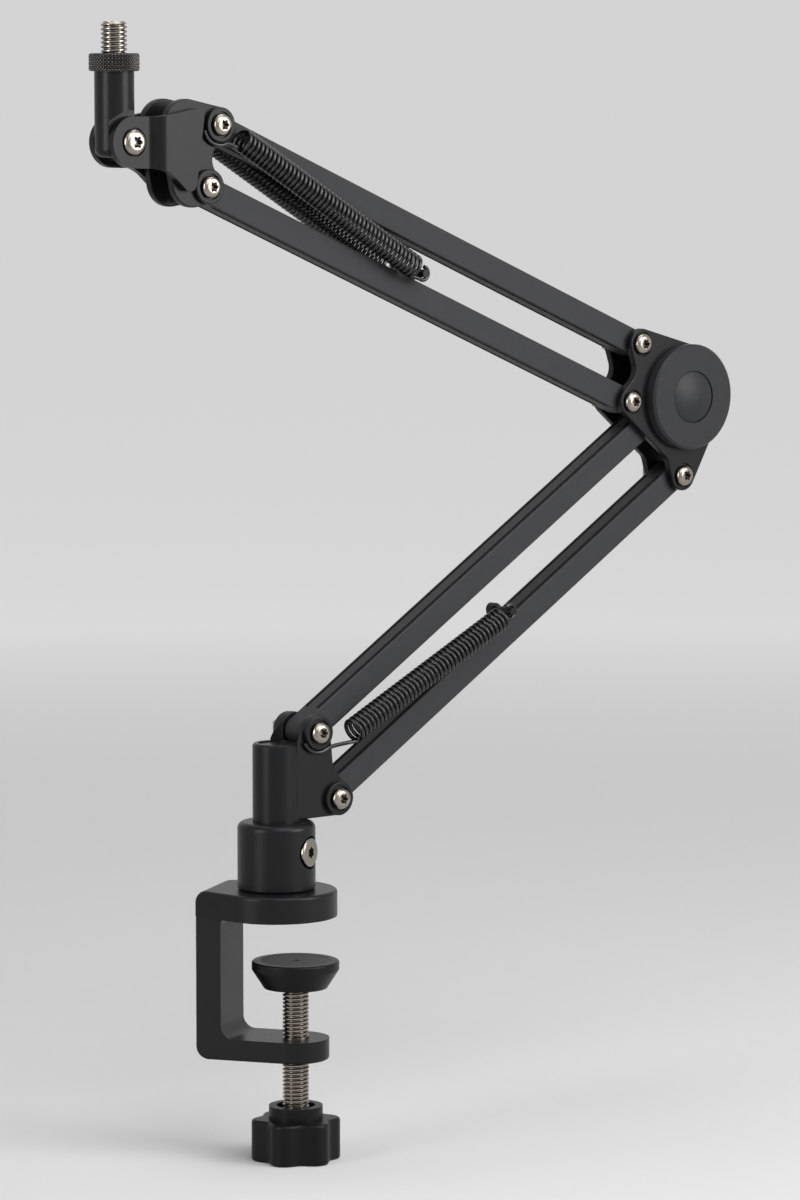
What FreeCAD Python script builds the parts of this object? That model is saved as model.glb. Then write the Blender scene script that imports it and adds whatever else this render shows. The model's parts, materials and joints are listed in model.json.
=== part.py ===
"""Desk microphone boom arm: a C-clamp, a swivelling post, two parallel-bar arms and a microphone head.

Millimetres and degrees. The origin lies on the clamp screw's axis at the underside of the upper jaw,
where the desk top bears. X runs along the jaws to their open end, Y to the rear and Z up. The arm is
drawn in its own upright plane, turned by arm_yaw about the post.
"""
import FreeCAD, Part
import math
import os
import re
import Sketcher
from FreeCAD import Placement, Rotation, Vector

DIMENSIONS = [
    ("arm_yaw", 57.2, "turn of the arm about the post"),
    ("lower_arm_angle", 32.7, "lower arm above the horizontal"),
    ("upper_arm_angle", 22.75, "upper arm above the horizontal, towards the head"),
    ("lower_arm_length", 209.0, "lower arm, pivot to pivot"),
    ("upper_arm_length", 226.4, "upper arm, pivot to pivot"),
    ("lower_link_lead", 9.7, "lower arm's upper bar pivot, behind the lower one"),
    ("lower_link_rise", 25.7, "lower arm's upper bar pivot, above the lower one"),
    ("upper_link_lead", 5.1, "upper arm's upper bar pivot, ahead of the lower one"),
    ("upper_link_rise", 22.5, "upper arm's upper bar pivot, above the lower one"),
    ("bar_height", 10.0, "bar section in the arm plane"),
    ("bar_depth", 10.0, "bar section across the arm plane"),
    ("bar_edge", 0.6, "rounded long edges of a bar"),
    ("bar_slot", 1.8, "grooves along a bar's top and underside"),
    ("bar_slot_depth", 1.2, "grooves along a bar"),
    ("bar_slot_lip", 0.7, "bar between a groove and the side face"),
    ("bar_slot_end", 8.0, "pivot to the end of a groove"),
    ("side_play", 0.25, "gap between a bar and the plate beside it"),
    ("plate_thick", 3.0, "pivot plates"),
    ("plate_edge", 0.5, "rounded rim of a plate"),
    ("running_fit", 0.04, "radial clearance of a turning pin"),
    ("seat_fit", 0.01, "radial clearance of a piece that sits fast"),
    ("open_pivot_gap", 0.3, "radial clearance at the far pivot of an upper bar"),
    ("pivot_radius", 2.5, "pivot screw shank"),
    ("pivot_head_radius", 4.1, "pivot screw button head"),
    ("pivot_head_height", 3.0, "pivot screw button head"),
    ("pivot_head_round", 1.9, "dome of the button head"),
    ("pivot_socket", 2.05, "six-lobe socket, tip radius"),
    ("socket_depth", 2.2, "six-lobe socket"),
    ("pivot_seat", 0.8, "recess that takes a pivot head or its nut"),
    ("pivot_seat_radius", 4.9, "recess that takes a pivot head or its nut"),
    ("nut_corner", 4.6, "pivot nut, centre to corner"),
    ("nut_gap", 0.3, "screw end past its nut"),
    ("nut_height", 4.0, "pivot nut"),
    ("bush_radius", 3.6, "pivot bush"),
    ("boss_radius", 6.4, "thick washer under a pivot head"),
    ("boss_thick", 2.0, "thick washer under a pivot head"),
    ("boss_edge", 0.5, "rounded rim of the thick washer"),
    ("lug_radius", 6.6, "plate round a pivot at the base and the head"),
    ("jaw_gap", 46.3, "throat of the clamp"),
    ("upper_jaw_thick", 10.0, "upper jaw"),
    ("lower_jaw_thick", 8.2, "lower jaw"),
    ("web_thick", 10.2, "clamp web along X"),
    ("web_depth", 25.4, "clamp web along Y"),
    ("web_outer", 35.6, "clamp screw axis to the web's outer face"),
    ("jaw_round", 22.9, "upper jaw's round end, about the post"),
    ("clamp_corner", 5.0, "outer corners of the clamp"),
    ("throat_top_round", 3.0, "throat corner under the upper jaw"),
    ("throat_bottom_round", 5.0, "throat corner over the lower jaw"),
    ("clamp_edge", 1.2, "rounded edges of the clamp"),
    ("post_offset", 7.5, "clamp screw axis back to the post axis"),
    ("collar_radius", 14.7, "socket collar"),
    ("collar_height", 25.7, "socket collar"),
    ("collar_round", 2.5, "socket collar, top rim"),
    ("collar_foot", 0.8, "socket collar, bottom chamfer"),
    ("collar_floor", 5.0, "socket floor"),
    ("collar_bolt_radius", 3.0, "bolt that holds the collar on the jaw"),
    ("collar_bolt_head", 6.0, "its countersunk head"),
    ("collar_bolt_reach", 14.0, "its length"),
    ("set_screw_yaw", -9.0, "set screw's direction, from X towards the front"),
    ("set_screw_rise", 1.8, "set screw above the middle of the collar"),
    ("set_screw_radius", 3.0, "set screw shank"),
    ("set_screw_head", 5.6, "set screw head radius"),
    ("set_screw_height", 3.6, "set screw head"),
    ("set_screw_round", 0.7, "set screw head rim"),
    ("set_screw_socket", 2.3, "set screw socket, tip radius"),
    ("spot_face", 3.5, "flat for the set screw, cut into the collar"),
    ("spot_face_radius", 6.3, "flat for the set screw"),
    ("thrust_thick", 1.2, "thrust washer under the post"),
    ("post_radius", 8.95, "post"),
    ("post_gap", 0.34, "bar end to the post's top corner"),
    ("post_corner_angle", 42.0, "direction from that corner to the pivot"),
    ("post_rim", 0.7, "post top chamfer"),
    ("post_recess_radius", 6.8, "recess in the post top"),
    ("post_recess", 1.4, "recess in the post top"),
    ("post_cap_thick", 0.9, "plug in that recess"),
    ("groove_depth", 1.3, "retaining groove in the post"),
    ("groove_play", 0.4, "set screw tip in the groove"),
    ("base_rise", 7.5, "lower base pivot above the collar"),
    ("base_flare", 9.0, "concave edge between the base pivots"),
    ("base_flare_out", 7.0, "its centre, ahead of the lower pivot"),
    ("base_flare_up", 15.4, "its centre, above the lower pivot"),
    ("base_corner", 2.0, "hidden corners of a base plate"),
    ("weld_gap", 0.03, "plate edge to the post"),
    ("hub_lead", 0.9, "elbow centre, ahead of the lower arm's pivot"),
    ("hub_rise", 31.3, "elbow centre, above the lower arm's pivot"),
    ("hub_radius", 20.6, "elbow plate round its centre"),
    ("elbow_lug", 6.0, "elbow plate round a pivot"),
    ("elbow_back", 28.2, "upper arm's lower pivot, behind the elbow centre"),
    ("elbow_drop", 0.9, "upper arm's lower pivot, below the elbow centre"),
    ("elbow_notch", 6.0, "notch between the upper arm's pivots"),
    ("elbow_bay", 4.0, "notch beside the lower arm's pivot"),
    ("elbow_bay_back", 11.8, "its centre, behind that pivot"),
    ("elbow_bay_up", 4.7, "its centre, above that pivot"),
    ("spacer_radius", 6.5, "elbow hub spacer"),
    ("tie_radius", 3.0, "elbow tie bolt"),
    ("tie_head", 5.5, "elbow tie bolt head"),
    ("tie_head_height", 2.6, "elbow tie bolt head"),
    ("cover_radius", 20.8, "elbow cover disc"),
    ("cover_thick", 4.6, "elbow cover disc"),
    ("cover_edge", 0.9, "elbow cover chamfer"),
    ("cap_seat_radius", 10.3, "recess for the domed cap"),
    ("cap_seat", 1.2, "recess for the domed cap"),
    ("cap_gap", 0.35, "shadow gap round the domed cap"),
    ("cap_edge", 0.9, "straight edge of the domed cap"),
    ("cap_dome", 1.9, "rise of the domed cap"),
    ("eye_back", 37.4, "stem pivot, behind the head's upper pivot"),
    ("eye_drop", 6.0, "stem pivot, below the head's upper pivot"),
    ("head_notch", 6.5, "notch between the head's pivots"),
    ("head_crown", 10.0, "head plate, top corner"),
    ("head_crown_back", 14.4, "its centre, behind the upper pivot"),
    ("head_crown_drop", 0.5, "its centre, below the upper pivot"),
    ("head_chin", 9.5, "head plate, bottom corner"),
    ("head_chin_back", 6.3, "its centre, behind the lower pivot"),
    ("head_chin_rise", 2.0, "its centre, above the lower pivot"),
    ("cheek_thick", 2.8, "cheek plates"),
    ("cheek_play", 0.25, "gap between the stem's tang and a cheek"),
    ("eye_radius", 9.4, "cheek round the stem pivot"),
    ("cheek_corner", 3.0, "cheek's rear corners"),
    ("cheek_gap", 0.2, "rear edge of a cheek to the spring's hook"),
    ("cheek_top_z", 9.0, "top corner, above the stem pivot"),
    ("cheek_low_x", 22.6, "bottom corner, from the stem pivot"),
    ("cheek_low_z", 15.0, "bottom corner, below the stem pivot"),
    ("cheek_waist_x", 7.6, "waist, from the stem pivot"),
    ("cheek_waist_top", 20.0, "waist above, concave radius"),
    ("cheek_waist_low", 12.0, "waist below, concave radius"),
    ("cheek_waist_half", 9.2, "waist above the stem pivot"),
    ("cheek_waist_drop", 9.6, "waist below the stem pivot"),
    ("joggle_start", 6.2, "bend of the cheek, from the stem pivot"),
    ("joggle_end", 12.8, "end of that bend"),
    ("joggle_round", 2.4, "inside radius of that bend"),
    ("counterbore_depth", 0.8, "seat of the stem pivot screw"),
    ("counterbore_gap", 0.45, "gap round its head"),
    ("stem_pivot_radius", 3.0, "stem pivot screw shank"),
    ("stem_head_radius", 4.9, "stem pivot screw head"),
    ("stem_head_height", 2.8, "stem pivot screw head"),
    ("stem_head_round", 2.2, "dome of that head"),
    ("stem_socket", 2.4, "its six-lobe socket, tip radius"),
    ("stem_nut_corner", 5.5, "stem pivot nut, centre to corner"),
    ("stem_radius", 7.25, "microphone stem"),
    ("stem_lead", 3.4, "stem axis ahead of its pivot"),
    ("stem_tang", 8.8, "stem between the cheeks"),
    ("stem_eye", 7.0, "stem round its pivot"),
    ("tang_gap", 2.4, "round of the eye to the stem's shoulders"),
    ("stem_rise", 25.5, "stem top above its pivot"),
    ("stem_foot", 5.5, "stem end below its pivot"),
    ("stem_round", 3.0, "stem end"),
    ("stud_radius", 4.7625, "three-eighths inch stud"),
    ("stud_neck", 4.5, "stud below its thread, in the lock ring and the stem"),
    ("stud_sunk", 12.0, "stud inside the stem"),
    ("stud_clear", 11.4, "stud above the lock ring"),
    ("stud_tip", 0.9, "stud tip chamfer"),
    ("ring_radius", 9.35, "knurled lock ring"),
    ("ring_height", 6.5, "knurled lock ring"),
    ("ring_edge", 0.7, "lock ring chamfer"),
    ("screw_radius", 5.0, "clamp screw"),
    ("pad_drop", 16.9, "pad face below the upper jaw"),
    ("pad_radius", 16.5, "clamp pad"),
    ("pad_rim", 3.3, "clamp pad, upright rim"),
    ("pad_cone", 7.0, "clamp pad, cone below the rim"),
    ("pad_foot", 12.0, "clamp pad, lower end radius"),
    ("pad_seat_radius", 13.25, "recess for the rubber face"),
    ("pad_seat", 0.9, "recess for the rubber face"),
    ("pad_face_thick", 0.8, "rubber face"),
    ("pad_face_hole", 1.5, "hole in the rubber face"),
    ("pad_socket", 6.0, "screw inside the pad"),
    ("pad_edge", 0.8, "pad rim rounding"),
    ("knob_gap", 45.0, "pad to knob along the screw"),
    ("knob_neck_radius", 10.2, "knob neck"),
    ("knob_neck", 5.0, "knob neck"),
    ("knob_cup_radius", 7.3, "recess round the screw in the neck"),
    ("knob_cup", 1.5, "recess round the screw in the neck"),
    ("knob_height", 15.9, "knob grip"),
    ("knob_radius", 16.85, "knob grip, lobe tips"),
    ("knob_lobe", 5.5, "knob lobe"),
    ("knob_flute", 4.0, "flute between lobes"),
    ("knob_flute_out", 18.0, "flute centre, from the axis"),
    ("knob_edge", 1.2, "knob rim rounding"),
    ("knob_floor", 3.0, "knob below the screw end"),
    ("knob_yaw", 27.0, "turn of the knob, a lobe from X"),
    ("spring_offset", 10.0, "spring axis from the arm plane"),
    ("spring_radius", 3.9, "spring, wire centre"),
    ("wire_radius", 0.8, "spring wire"),
    ("lower_spring_turns", 40, "turns of the lower spring"),
    ("upper_spring_turns", 45, "turns of each upper spring"),
    ("hook_gap", 0.2, "hook wire to the washer or pin that it holds"),
    ("spring_tail", 5.0, "last turn to the anchor pin"),
    ("lower_spring_lead", 15.6, "first turn ahead of the base's upper pivot"),
    ("lower_spring_drop", 0.5, "first turn below the base's upper pivot"),
    ("upper_spring_lead", 9.0, "first turn ahead of the head's upper pivot"),
    ("upper_spring_drop", 5.2, "first turn below the head's upper pivot"),
    ("anchor_radius", 1.5, "spring anchor pin"),
    ("anchor_end", 2.0, "anchor pin past the spring axis"),
    ("anchor_tab", 3.0, "anchor tab thickness"),
    ("anchor_tab_round", 2.5, "anchor tab round the pin"),
    ("anchor_tab_foot", 4.5, "anchor tab, half length on the bar"),
    ("lower_anchor_along", 106.0, "lower anchor, from the base pivot"),
    ("lower_anchor_rise", 4.5, "lower anchor above the bar"),
    ("upper_anchor_along", 106.0, "upper anchor, from the head pivot"),
    ("upper_anchor_rise", 2.3, "upper anchor above the bar"),
]

KNOB_LOBES = 6
SOCKET_LOBES = 6
TRIM = "lower_arm_length"

doc = FreeCAD.newDocument("MicrophoneBoomArm")
sheet = doc.addObject("Spreadsheet::Sheet", "Dims")
for row, (alias, value, meaning) in enumerate(DIMENSIONS, start=1):
    sheet.set("A%d" % row, meaning)
    sheet.set("B%d" % row, str(value))
    sheet.setAlias("B%d" % row, alias)
doc.recompute()
ALIASES = {alias for alias, value, meaning in DIMENSIONS}
nodes = {}


def number(text):
    """Return the present value of a formula of the sheet's names."""
    return float(sheet.evalExpression(text))


def bound(text):
    """Return the formula with each of the sheet's names made a reference to its cell."""
    return re.sub(r"[A-Za-z_]\w*", lambda word: "Dims." + word[0] if word[0] in ALIASES else word[0], text)


def bind(thing, prop, text):
    """Tie a property to a formula."""
    thing.setExpression(prop, bound(text))


def keep(thing, label, placement=None):
    """Name an object as a node of the part and put it in its place."""
    thing.Label = label
    if placement is not None:
        thing.Placement = placement
    nodes[label] = thing
    return thing


def new_body(name):
    return doc.addObject("PartDesign::Body", name)


def new_sketch(body, plane, offset=None):
    """Attach a sketch to one of the body's origin planes, moved along the plane's normal."""
    sketch = body.newObject("Sketcher::SketchObject", body.Name + "Sketch")
    support = next(item for item in body.Origin.OriginFeatures if item.Role == plane)
    sketch.AttachmentSupport = [(support, "")]
    sketch.MapMode = "FlatFace"
    if offset:
        bind(sketch, "AttachmentOffset.Base.z", offset)
    return sketch


def fix_point(sketch, geometry, position, x, y):
    """Hold a point of a sketch at the coordinates that two formulas give."""
    for kind, axis, text in (("DistanceX", -2, x), ("DistanceY", -1, y)):
        value = number(text)
        if abs(value) < 1e-9:
            sketch.addConstraint(Sketcher.Constraint("PointOnObject", geometry, position, axis))
        elif value > 0:
            index = sketch.addConstraint(Sketcher.Constraint(kind, -1, 1, geometry, position, value))
            bind(sketch, "Constraints[%d]" % index, text)
        else:
            index = sketch.addConstraint(Sketcher.Constraint(kind, geometry, position, -1, 1, -value))
            bind(sketch, "Constraints[%d]" % index, "-(%s)" % text)


def fix_radius(sketch, geometry, text):
    index = sketch.addConstraint(Sketcher.Constraint("Radius", geometry, number(text)))
    bind(sketch, "Constraints[%d]" % index, text)


def draw_circle(sketch, x, y, radius):
    circle = Part.Circle(Vector(number(x), number(y), 0), Vector(0, 0, 1), number(radius))
    geometry = sketch.addGeometry(circle, False)
    fix_point(sketch, geometry, 3, x, y)
    fix_radius(sketch, geometry, radius)


def draw_outline(sketch, corners):
    """Draw a closed outline anticlockwise through corners (x, y, radius, side).

    A corner with no radius is sharp. With a radius it is a circle about (x, y) that the outline
    follows, outside a bulge (side 1) or inside a hollow (side -1). Straight edges touch both circles:
    the edge's left normal n fulfils (c2 - c1) . n = side2 * r2 - side1 * r1.
    A corner ("dome",) makes the edge between two sharp corners an arc centred on the Y axis.
    """
    domes = {index for index, corner in enumerate(corners) if corner == ("dome",)}
    after_dome = []
    stops = []
    for index, corner in enumerate(corners):
        if index in domes:
            after_dome.append(len(stops) - 1)
            continue
        x, y = corner[0], corner[1]
        radius, side = (corner[2], corner[3]) if len(corner) == 4 else (None, 1)
        stops.append((x, y, radius, side, Vector(number(x), number(y), 0), number(radius) if radius else 0.0))
    count = len(stops)
    leave = [None] * count
    arrive = [None] * count
    for here in range(count):
        there = (here + 1) % count
        step = stops[there][4] - stops[here][4]
        shift = stops[there][3] * stops[there][5] - stops[here][3] * stops[here][5]
        heading = math.atan2(step.y, step.x) - math.asin(shift / step.Length)
        normal = Vector(-math.sin(heading), math.cos(heading), 0)
        leave[here] = stops[here][4] - normal * (stops[here][3] * stops[here][5])
        arrive[there] = stops[there][4] - normal * (stops[there][3] * stops[there][5])
    edges = []
    for here in range(count):
        there = (here + 1) % count
        if here in after_dome:
            edges.append(draw_dome(sketch, leave[here], arrive[there]))
        else:
            edges.append((sketch.addGeometry(Part.LineSegment(leave[here], arrive[there]), False), 1, 2))
    for here in range(count):
        x, y, radius, side, centre, size = stops[here]
        before, now = edges[here - 1], edges[here]
        if radius is None:
            sketch.addConstraint(Sketcher.Constraint("Coincident", before[0], before[2], now[0], now[1]))
            fix_point(sketch, now[0], now[1], x, y)
            continue
        first, last = (arrive[here], leave[here]) if side > 0 else (leave[here], arrive[here])
        start = math.atan2(first.y - centre.y, first.x - centre.x)
        end = math.atan2(last.y - centre.y, last.x - centre.x)
        circle = Part.Circle(centre, Vector(0, 0, 1), size)
        arc = sketch.addGeometry(Part.ArcOfCircle(circle, start, end if end > start else end + 2 * math.pi), False)
        entry, leaving = (1, 2) if side > 0 else (2, 1)
        fix_point(sketch, arc, 3, x, y)
        fix_radius(sketch, arc, radius)
        sketch.addConstraint(Sketcher.Constraint("Tangent", before[0], before[2], arc, entry))
        sketch.addConstraint(Sketcher.Constraint("Tangent", now[0], now[1], arc, leaving))


def draw_dome(sketch, low, high):
    """Draw an arc from the rim point up to the axis point, centred on the Y axis below them."""
    centre_y = (high.y ** 2 - low.y ** 2 - low.x ** 2) / (2 * (high.y - low.y))
    circle = Part.Circle(Vector(0, centre_y, 0), Vector(0, 0, 1), high.y - centre_y)
    start = math.atan2(low.y - centre_y, low.x)
    geometry = sketch.addGeometry(Part.ArcOfCircle(circle, start, math.pi / 2), False)
    sketch.addConstraint(Sketcher.Constraint("PointOnObject", geometry, 3, -2))
    return geometry, 1, 2


def feature(body, kind, sketch, length=None, symmetric=False, reversed_way=False):
    """Add a Pad or a Pocket of a sketch. With no length a Pocket goes through everything."""
    made = body.newObject("PartDesign::" + kind, body.Name + kind)
    made.Profile = sketch
    made.SideType = "Symmetric" if symmetric else "One side"
    made.Reversed = reversed_way
    if length:
        bind(made, "Length", length)
    else:
        made.Type = "ThroughAll"
    return made


def turned(name, corners):
    """Turn a profile of (radius, height) corners about the body's own Z axis."""
    body = new_body(name)
    sketch = new_sketch(body, "XZ_Plane")
    draw_outline(sketch, corners)
    made = body.newObject("PartDesign::Revolution", name + "Turned")
    made.Profile = sketch
    made.ReferenceAxis = (sketch, ["V_Axis"])
    made.Angle = 360
    return body


def soften(body, radius, choose):
    """Round the edges of the body's last feature that the test picks."""
    doc.recompute()
    base = body.Tip
    names = ["Edge%d" % index for index, edge in enumerate(base.Shape.Edges, start=1) if choose(edge)]
    made = body.newObject("PartDesign::Fillet", body.Name + "Rounding")
    made.Base = (base, names)
    bind(made, "Radius", radius)
    return made


def on_level(axis, *levels):
    """Pick open edges, and round rims wider than a bore, that lie at one of the levels on an axis."""
    def choose(edge):
        low, high = (getattr(edge.BoundBox, axis.upper() + end) for end in ("Min", "Max"))
        return any(abs(low - level) < 1e-4 and abs(high - level) < 1e-4 for level in levels)
    return choose


def outer_rim(axis, *levels):
    """Pick the edges at the levels that aren't the rim of a round hole."""
    at_level = on_level(axis, *levels)
    return lambda edge: at_level(edge) and not edge.isClosed()


def slab(name, corners, holes, inner, thickness, edge):
    """Make a plate on the arm's front side, from its inner face outwards, with a rounded rim."""
    body = new_body(name)
    sketch = new_sketch(body, "XZ_Plane", inner)
    draw_outline(sketch, corners)
    for x, z, radius in holes:
        draw_circle(sketch, x, z, radius)
    feature(body, "Pad", sketch, thickness)
    soften(body, edge, outer_rim("y", -number(inner), -number(inner) - number(thickness)))
    return body


def mirrored(body, label):
    """Make the rear twin of a front piece, mirrored in the arm plane."""
    twin = doc.addObject("Part::Mirroring", label)
    twin.Source = body
    twin.Base = body.Placement.Base
    twin.Normal = body.Placement.Rotation.multVec(Vector(0, 1, 0))
    return keep(twin, label)


def group(label, pieces):
    """Gather placed copies of turned or milled pieces as one node of separate solids."""
    links = []
    for master, placement in pieces:
        link = doc.addObject("App::Link", label + "Copy")
        link.LinkedObject = master
        link.Placement = placement
        links.append(link)
    gathered = doc.addObject("Part::Compound", label)
    gathered.Links = links
    return keep(gathered, label)


def cut_socket(body, level, tip):
    """Cut a six-lobe driver socket into the top of a screw head."""
    sketch = new_sketch(body, "XY_Plane", level)
    corners = []
    for lobe in range(SOCKET_LOBES):
        turn = 360.0 / SOCKET_LOBES * lobe
        valley = turn + 180.0 / SOCKET_LOBES
        corners.append(("%s * 0.785 * cos(%g)" % (tip, turn), "%s * 0.785 * sin(%g)" % (tip, turn),
                        "%s * 0.215" % tip, 1))
        corners.append(("%s * 1.077 * cos(%g)" % (tip, valley), "%s * 1.077 * sin(%g)" % (tip, valley),
                        "%s * 0.333" % tip, -1))
    draw_outline(sketch, corners)
    feature(body, "Pocket", sketch, "socket_depth")


def button_screw(name, seat, tail, shank, head, height, dome, tip):
    """Turn a button-head screw on Z: its head stands on the seat level, its shank ends at the tail."""
    top = "%s + %s" % (seat, height)
    body = turned(name, [
        ("0", tail), (shank, tail), (shank, seat), (head, seat),
        ("%s - %s" % (head, dome), "%s - %s" % (top, dome), dome, 1), ("0", top)])
    cut_socket(body, top, tip)
    return body


def hex_nut(name, low, height, corner, bore):
    """Mill a hexagon nut on Z with its lower face at a level."""
    body = new_body(name)
    sketch = new_sketch(body, "XY_Plane", low)
    draw_outline(sketch, [("%s * cos(%d)" % (corner, turn), "%s * sin(%d)" % (corner, turn))
                          for turn in range(30, 390, 60)])
    draw_circle(sketch, "0", "0", bore)
    feature(body, "Pad", sketch, height)
    return body


def ring(name, low, height, outer, bore, edge, recessed=False):
    """Turn a washer on Z with a rounded outer rim, and a seat for a pivot head if asked, on its far side."""
    high = "%s + %s" % (low, height)
    floor = "%s - pivot_seat" % high
    top = [("pivot_seat_radius", high), ("pivot_seat_radius", floor), (bore, floor)] if recessed else [(bore, high)]
    return turned(name, [
        (bore, low), (outer, low), ("%s - %s" % (outer, edge), "%s - %s" % (high, edge), edge, 1)] + top)


# Levels and pivots, as formulas of the sheet's names. Arm-plane pivots are (x, z) from the post axis.
collar_top = "(upper_jaw_thick + collar_height)"
base_low = ("(post_radius + (bar_height / 2 + post_gap) * cos(post_corner_angle) + lower_link_lead)",
            "(%s + base_rise)" % collar_top)
base_high = ("(%s - lower_link_lead)" % base_low[0], "(%s + lower_link_rise)" % base_low[1])
post_top = "(%s - (bar_height / 2 + post_gap) * sin(post_corner_angle))" % base_high[1]
plate_inner = "(bar_depth / 2 + side_play)"
plate_outer = "(%s + plate_thick)" % plate_inner
boss_outer = "(%s + boss_thick)" % plate_outer
boss_seat = "(%s - pivot_seat)" % boss_outer
plate_seat = "(%s - pivot_seat)" % plate_outer
pivot_bore = "(pivot_radius + seat_fit)"


def point(pair):
    return Vector(number(pair[0]), 0, number(pair[1]))


def slope(angle):
    """Return the arm-plane turn that raises +X by an angle."""
    return Rotation(Vector(0, -1, 0), angle)


FRONT = Rotation(Vector(1, 0, 0), 90)
REAR = Rotation(Vector(1, 0, 0), -90)
STRAIGHT = Rotation()
arm_frame = Placement(Vector(-number("post_offset"), 0, 0), Rotation(Vector(0, 0, 1), number("arm_yaw")))
lower_slope = slope(number("lower_arm_angle"))
upper_slope = slope(-number("upper_arm_angle"))
base_low_at = point(base_low)
base_high_at = point(base_high)
elbow_low_at = base_low_at + lower_slope.multVec(Vector(number("lower_arm_length"), 0, 0))
elbow_hidden_at = elbow_low_at + base_high_at - base_low_at
hub_at = elbow_low_at + Vector(number("hub_lead"), 0, number("hub_rise"))
upper_link = Vector(number("upper_link_lead"), 0, number("upper_link_rise"))
elbow_back_at = hub_at + Vector(-number("elbow_back"), 0, -number("elbow_drop"))
elbow_top_at = elbow_back_at + upper_link
head_low_at = elbow_back_at - upper_slope.multVec(Vector(number("upper_arm_length"), 0, 0))
head_high_at = head_low_at + upper_link
eye_at = head_high_at + Vector(-number("eye_back"), 0, -number("eye_drop"))


def in_arm(at, turn=STRAIGHT):
    """Place a piece of the arm at a point of the arm plane."""
    return arm_frame.multiply(Placement(at, turn))


# Clamp: the C frame is a profile across the throat, trimmed in plan above and below the desk face.
frame = new_body("ClampFrame")
jaw_tip = "(jaw_round - post_offset + clamp_edge)"
lower_tip = "(web_depth / 2 + clamp_edge)"
lower_face = "(-jaw_gap - lower_jaw_thick)"
profile = new_sketch(frame, "XZ_Plane")
draw_outline(profile, [
    (jaw_tip, "0"), (jaw_tip, "upper_jaw_thick"),
    ("clamp_corner - web_outer", "upper_jaw_thick - clamp_corner", "clamp_corner", 1),
    ("clamp_corner - web_outer", "%s + clamp_corner" % lower_face, "clamp_corner", 1),
    (lower_tip, lower_face), (lower_tip, "-jaw_gap"),
    ("web_thick - web_outer + throat_bottom_round", "throat_bottom_round - jaw_gap", "throat_bottom_round", -1),
    ("web_thick - web_outer + throat_top_round", "-throat_top_round", "throat_top_round", -1)])
feature(frame, "Pad", profile, "2 * jaw_round + 2 * clamp_edge", symmetric=True)


def trim(body, corners, upwards):
    """Cut away what lies outside a plan outline, above or below the desk face."""
    plan = new_sketch(body, "XY_Plane")
    draw_outline(plan, [("-" + TRIM, "-" + TRIM), (TRIM, "-" + TRIM), (TRIM, TRIM), ("-" + TRIM, TRIM)])
    draw_outline(plan, corners)
    feature(body, "Pocket", plan, reversed_way=upwards)


web_back = [("-web_outer", "web_depth / 2"), ("-web_outer", "-web_depth / 2")]
trim(frame, [("-post_offset", "0", "jaw_round", 1)] + web_back, True)
trim(frame, [("0", "0", "web_depth / 2", 1)] + web_back, False)
screw_hole = new_sketch(frame, "XY_Plane")
draw_circle(screw_hole, "0", "0", "screw_radius + running_fit")
feature(frame, "Pocket", screw_hole)
bolt_hole = new_sketch(frame, "XZ_Plane")
draw_outline(bolt_hole, [
    ("0", "0"), ("collar_bolt_head + running_fit", "0"),
    ("collar_bolt_radius + running_fit", "collar_bolt_head - collar_bolt_radius"),
    ("collar_bolt_radius + running_fit", "upper_jaw_thick + 1"), ("0", "upper_jaw_thick + 1")])
bolt_hole.setExpression("AttachmentOffset.Base.x", "-Dims.post_offset")
bored = frame.newObject("PartDesign::Groove", "ClampFrameBoltHole")
bored.Profile = bolt_hole
bored.ReferenceAxis = (bolt_hole, ["V_Axis"])
bored.Angle = 360


def web_corner(edge):
    """Pick the web's upright outer corners, whose rounding runs on round the jaws' outer rims."""
    box = edge.BoundBox
    outer = -number("web_outer")
    return abs(box.XMin - outer) + abs(box.XMax - outer) < 1e-4 and box.ZLength > box.YLength


soften(frame, "clamp_edge", web_corner)
keep(frame, "c_clamp_frame")

bolt = turned("CollarBolt", [
    ("0", "0.2"), ("collar_bolt_head - 0.2", "0.2"),
    ("collar_bolt_radius", "collar_bolt_head - collar_bolt_radius"),
    ("collar_bolt_radius", "collar_bolt_reach"), ("0", "collar_bolt_reach")])
post_axis = Vector(-number("post_offset"), 0, 0)
keep(bolt, "collar_bolt", Placement(post_axis, STRAIGHT))

collar_bore = "(post_radius + running_fit)"
socket_floor = "(upper_jaw_thick + collar_floor)"
set_screw_level = "(upper_jaw_thick + collar_height / 2 + set_screw_rise)"
set_screw_seat = "(collar_radius - spot_face)"
collar = turned("SocketCollar", [
    ("collar_bolt_radius + seat_fit", "upper_jaw_thick"), ("collar_radius - collar_foot", "upper_jaw_thick"),
    ("collar_radius", "upper_jaw_thick + collar_foot"),
    ("collar_radius - collar_round", "%s - collar_round" % collar_top, "collar_round", 1),
    (collar_bore, collar_top), (collar_bore, socket_floor), ("collar_bolt_radius + seat_fit", socket_floor)])
side_hole = new_sketch(collar, "YZ_Plane")
draw_circle(side_hole, "0", set_screw_level, "set_screw_radius + seat_fit")
feature(collar, "Pocket", side_hole, "collar_radius", reversed_way=True)
flat = new_sketch(collar, "YZ_Plane", set_screw_seat)
draw_circle(flat, "0", set_screw_level, "spot_face_radius")
feature(collar, "Pocket", flat, "spot_face + collar_round", reversed_way=True)
collar_turn = Rotation(Vector(0, 0, 1), number("set_screw_yaw"))
keep(collar, "socket_collar", Placement(post_axis, collar_turn))

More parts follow.
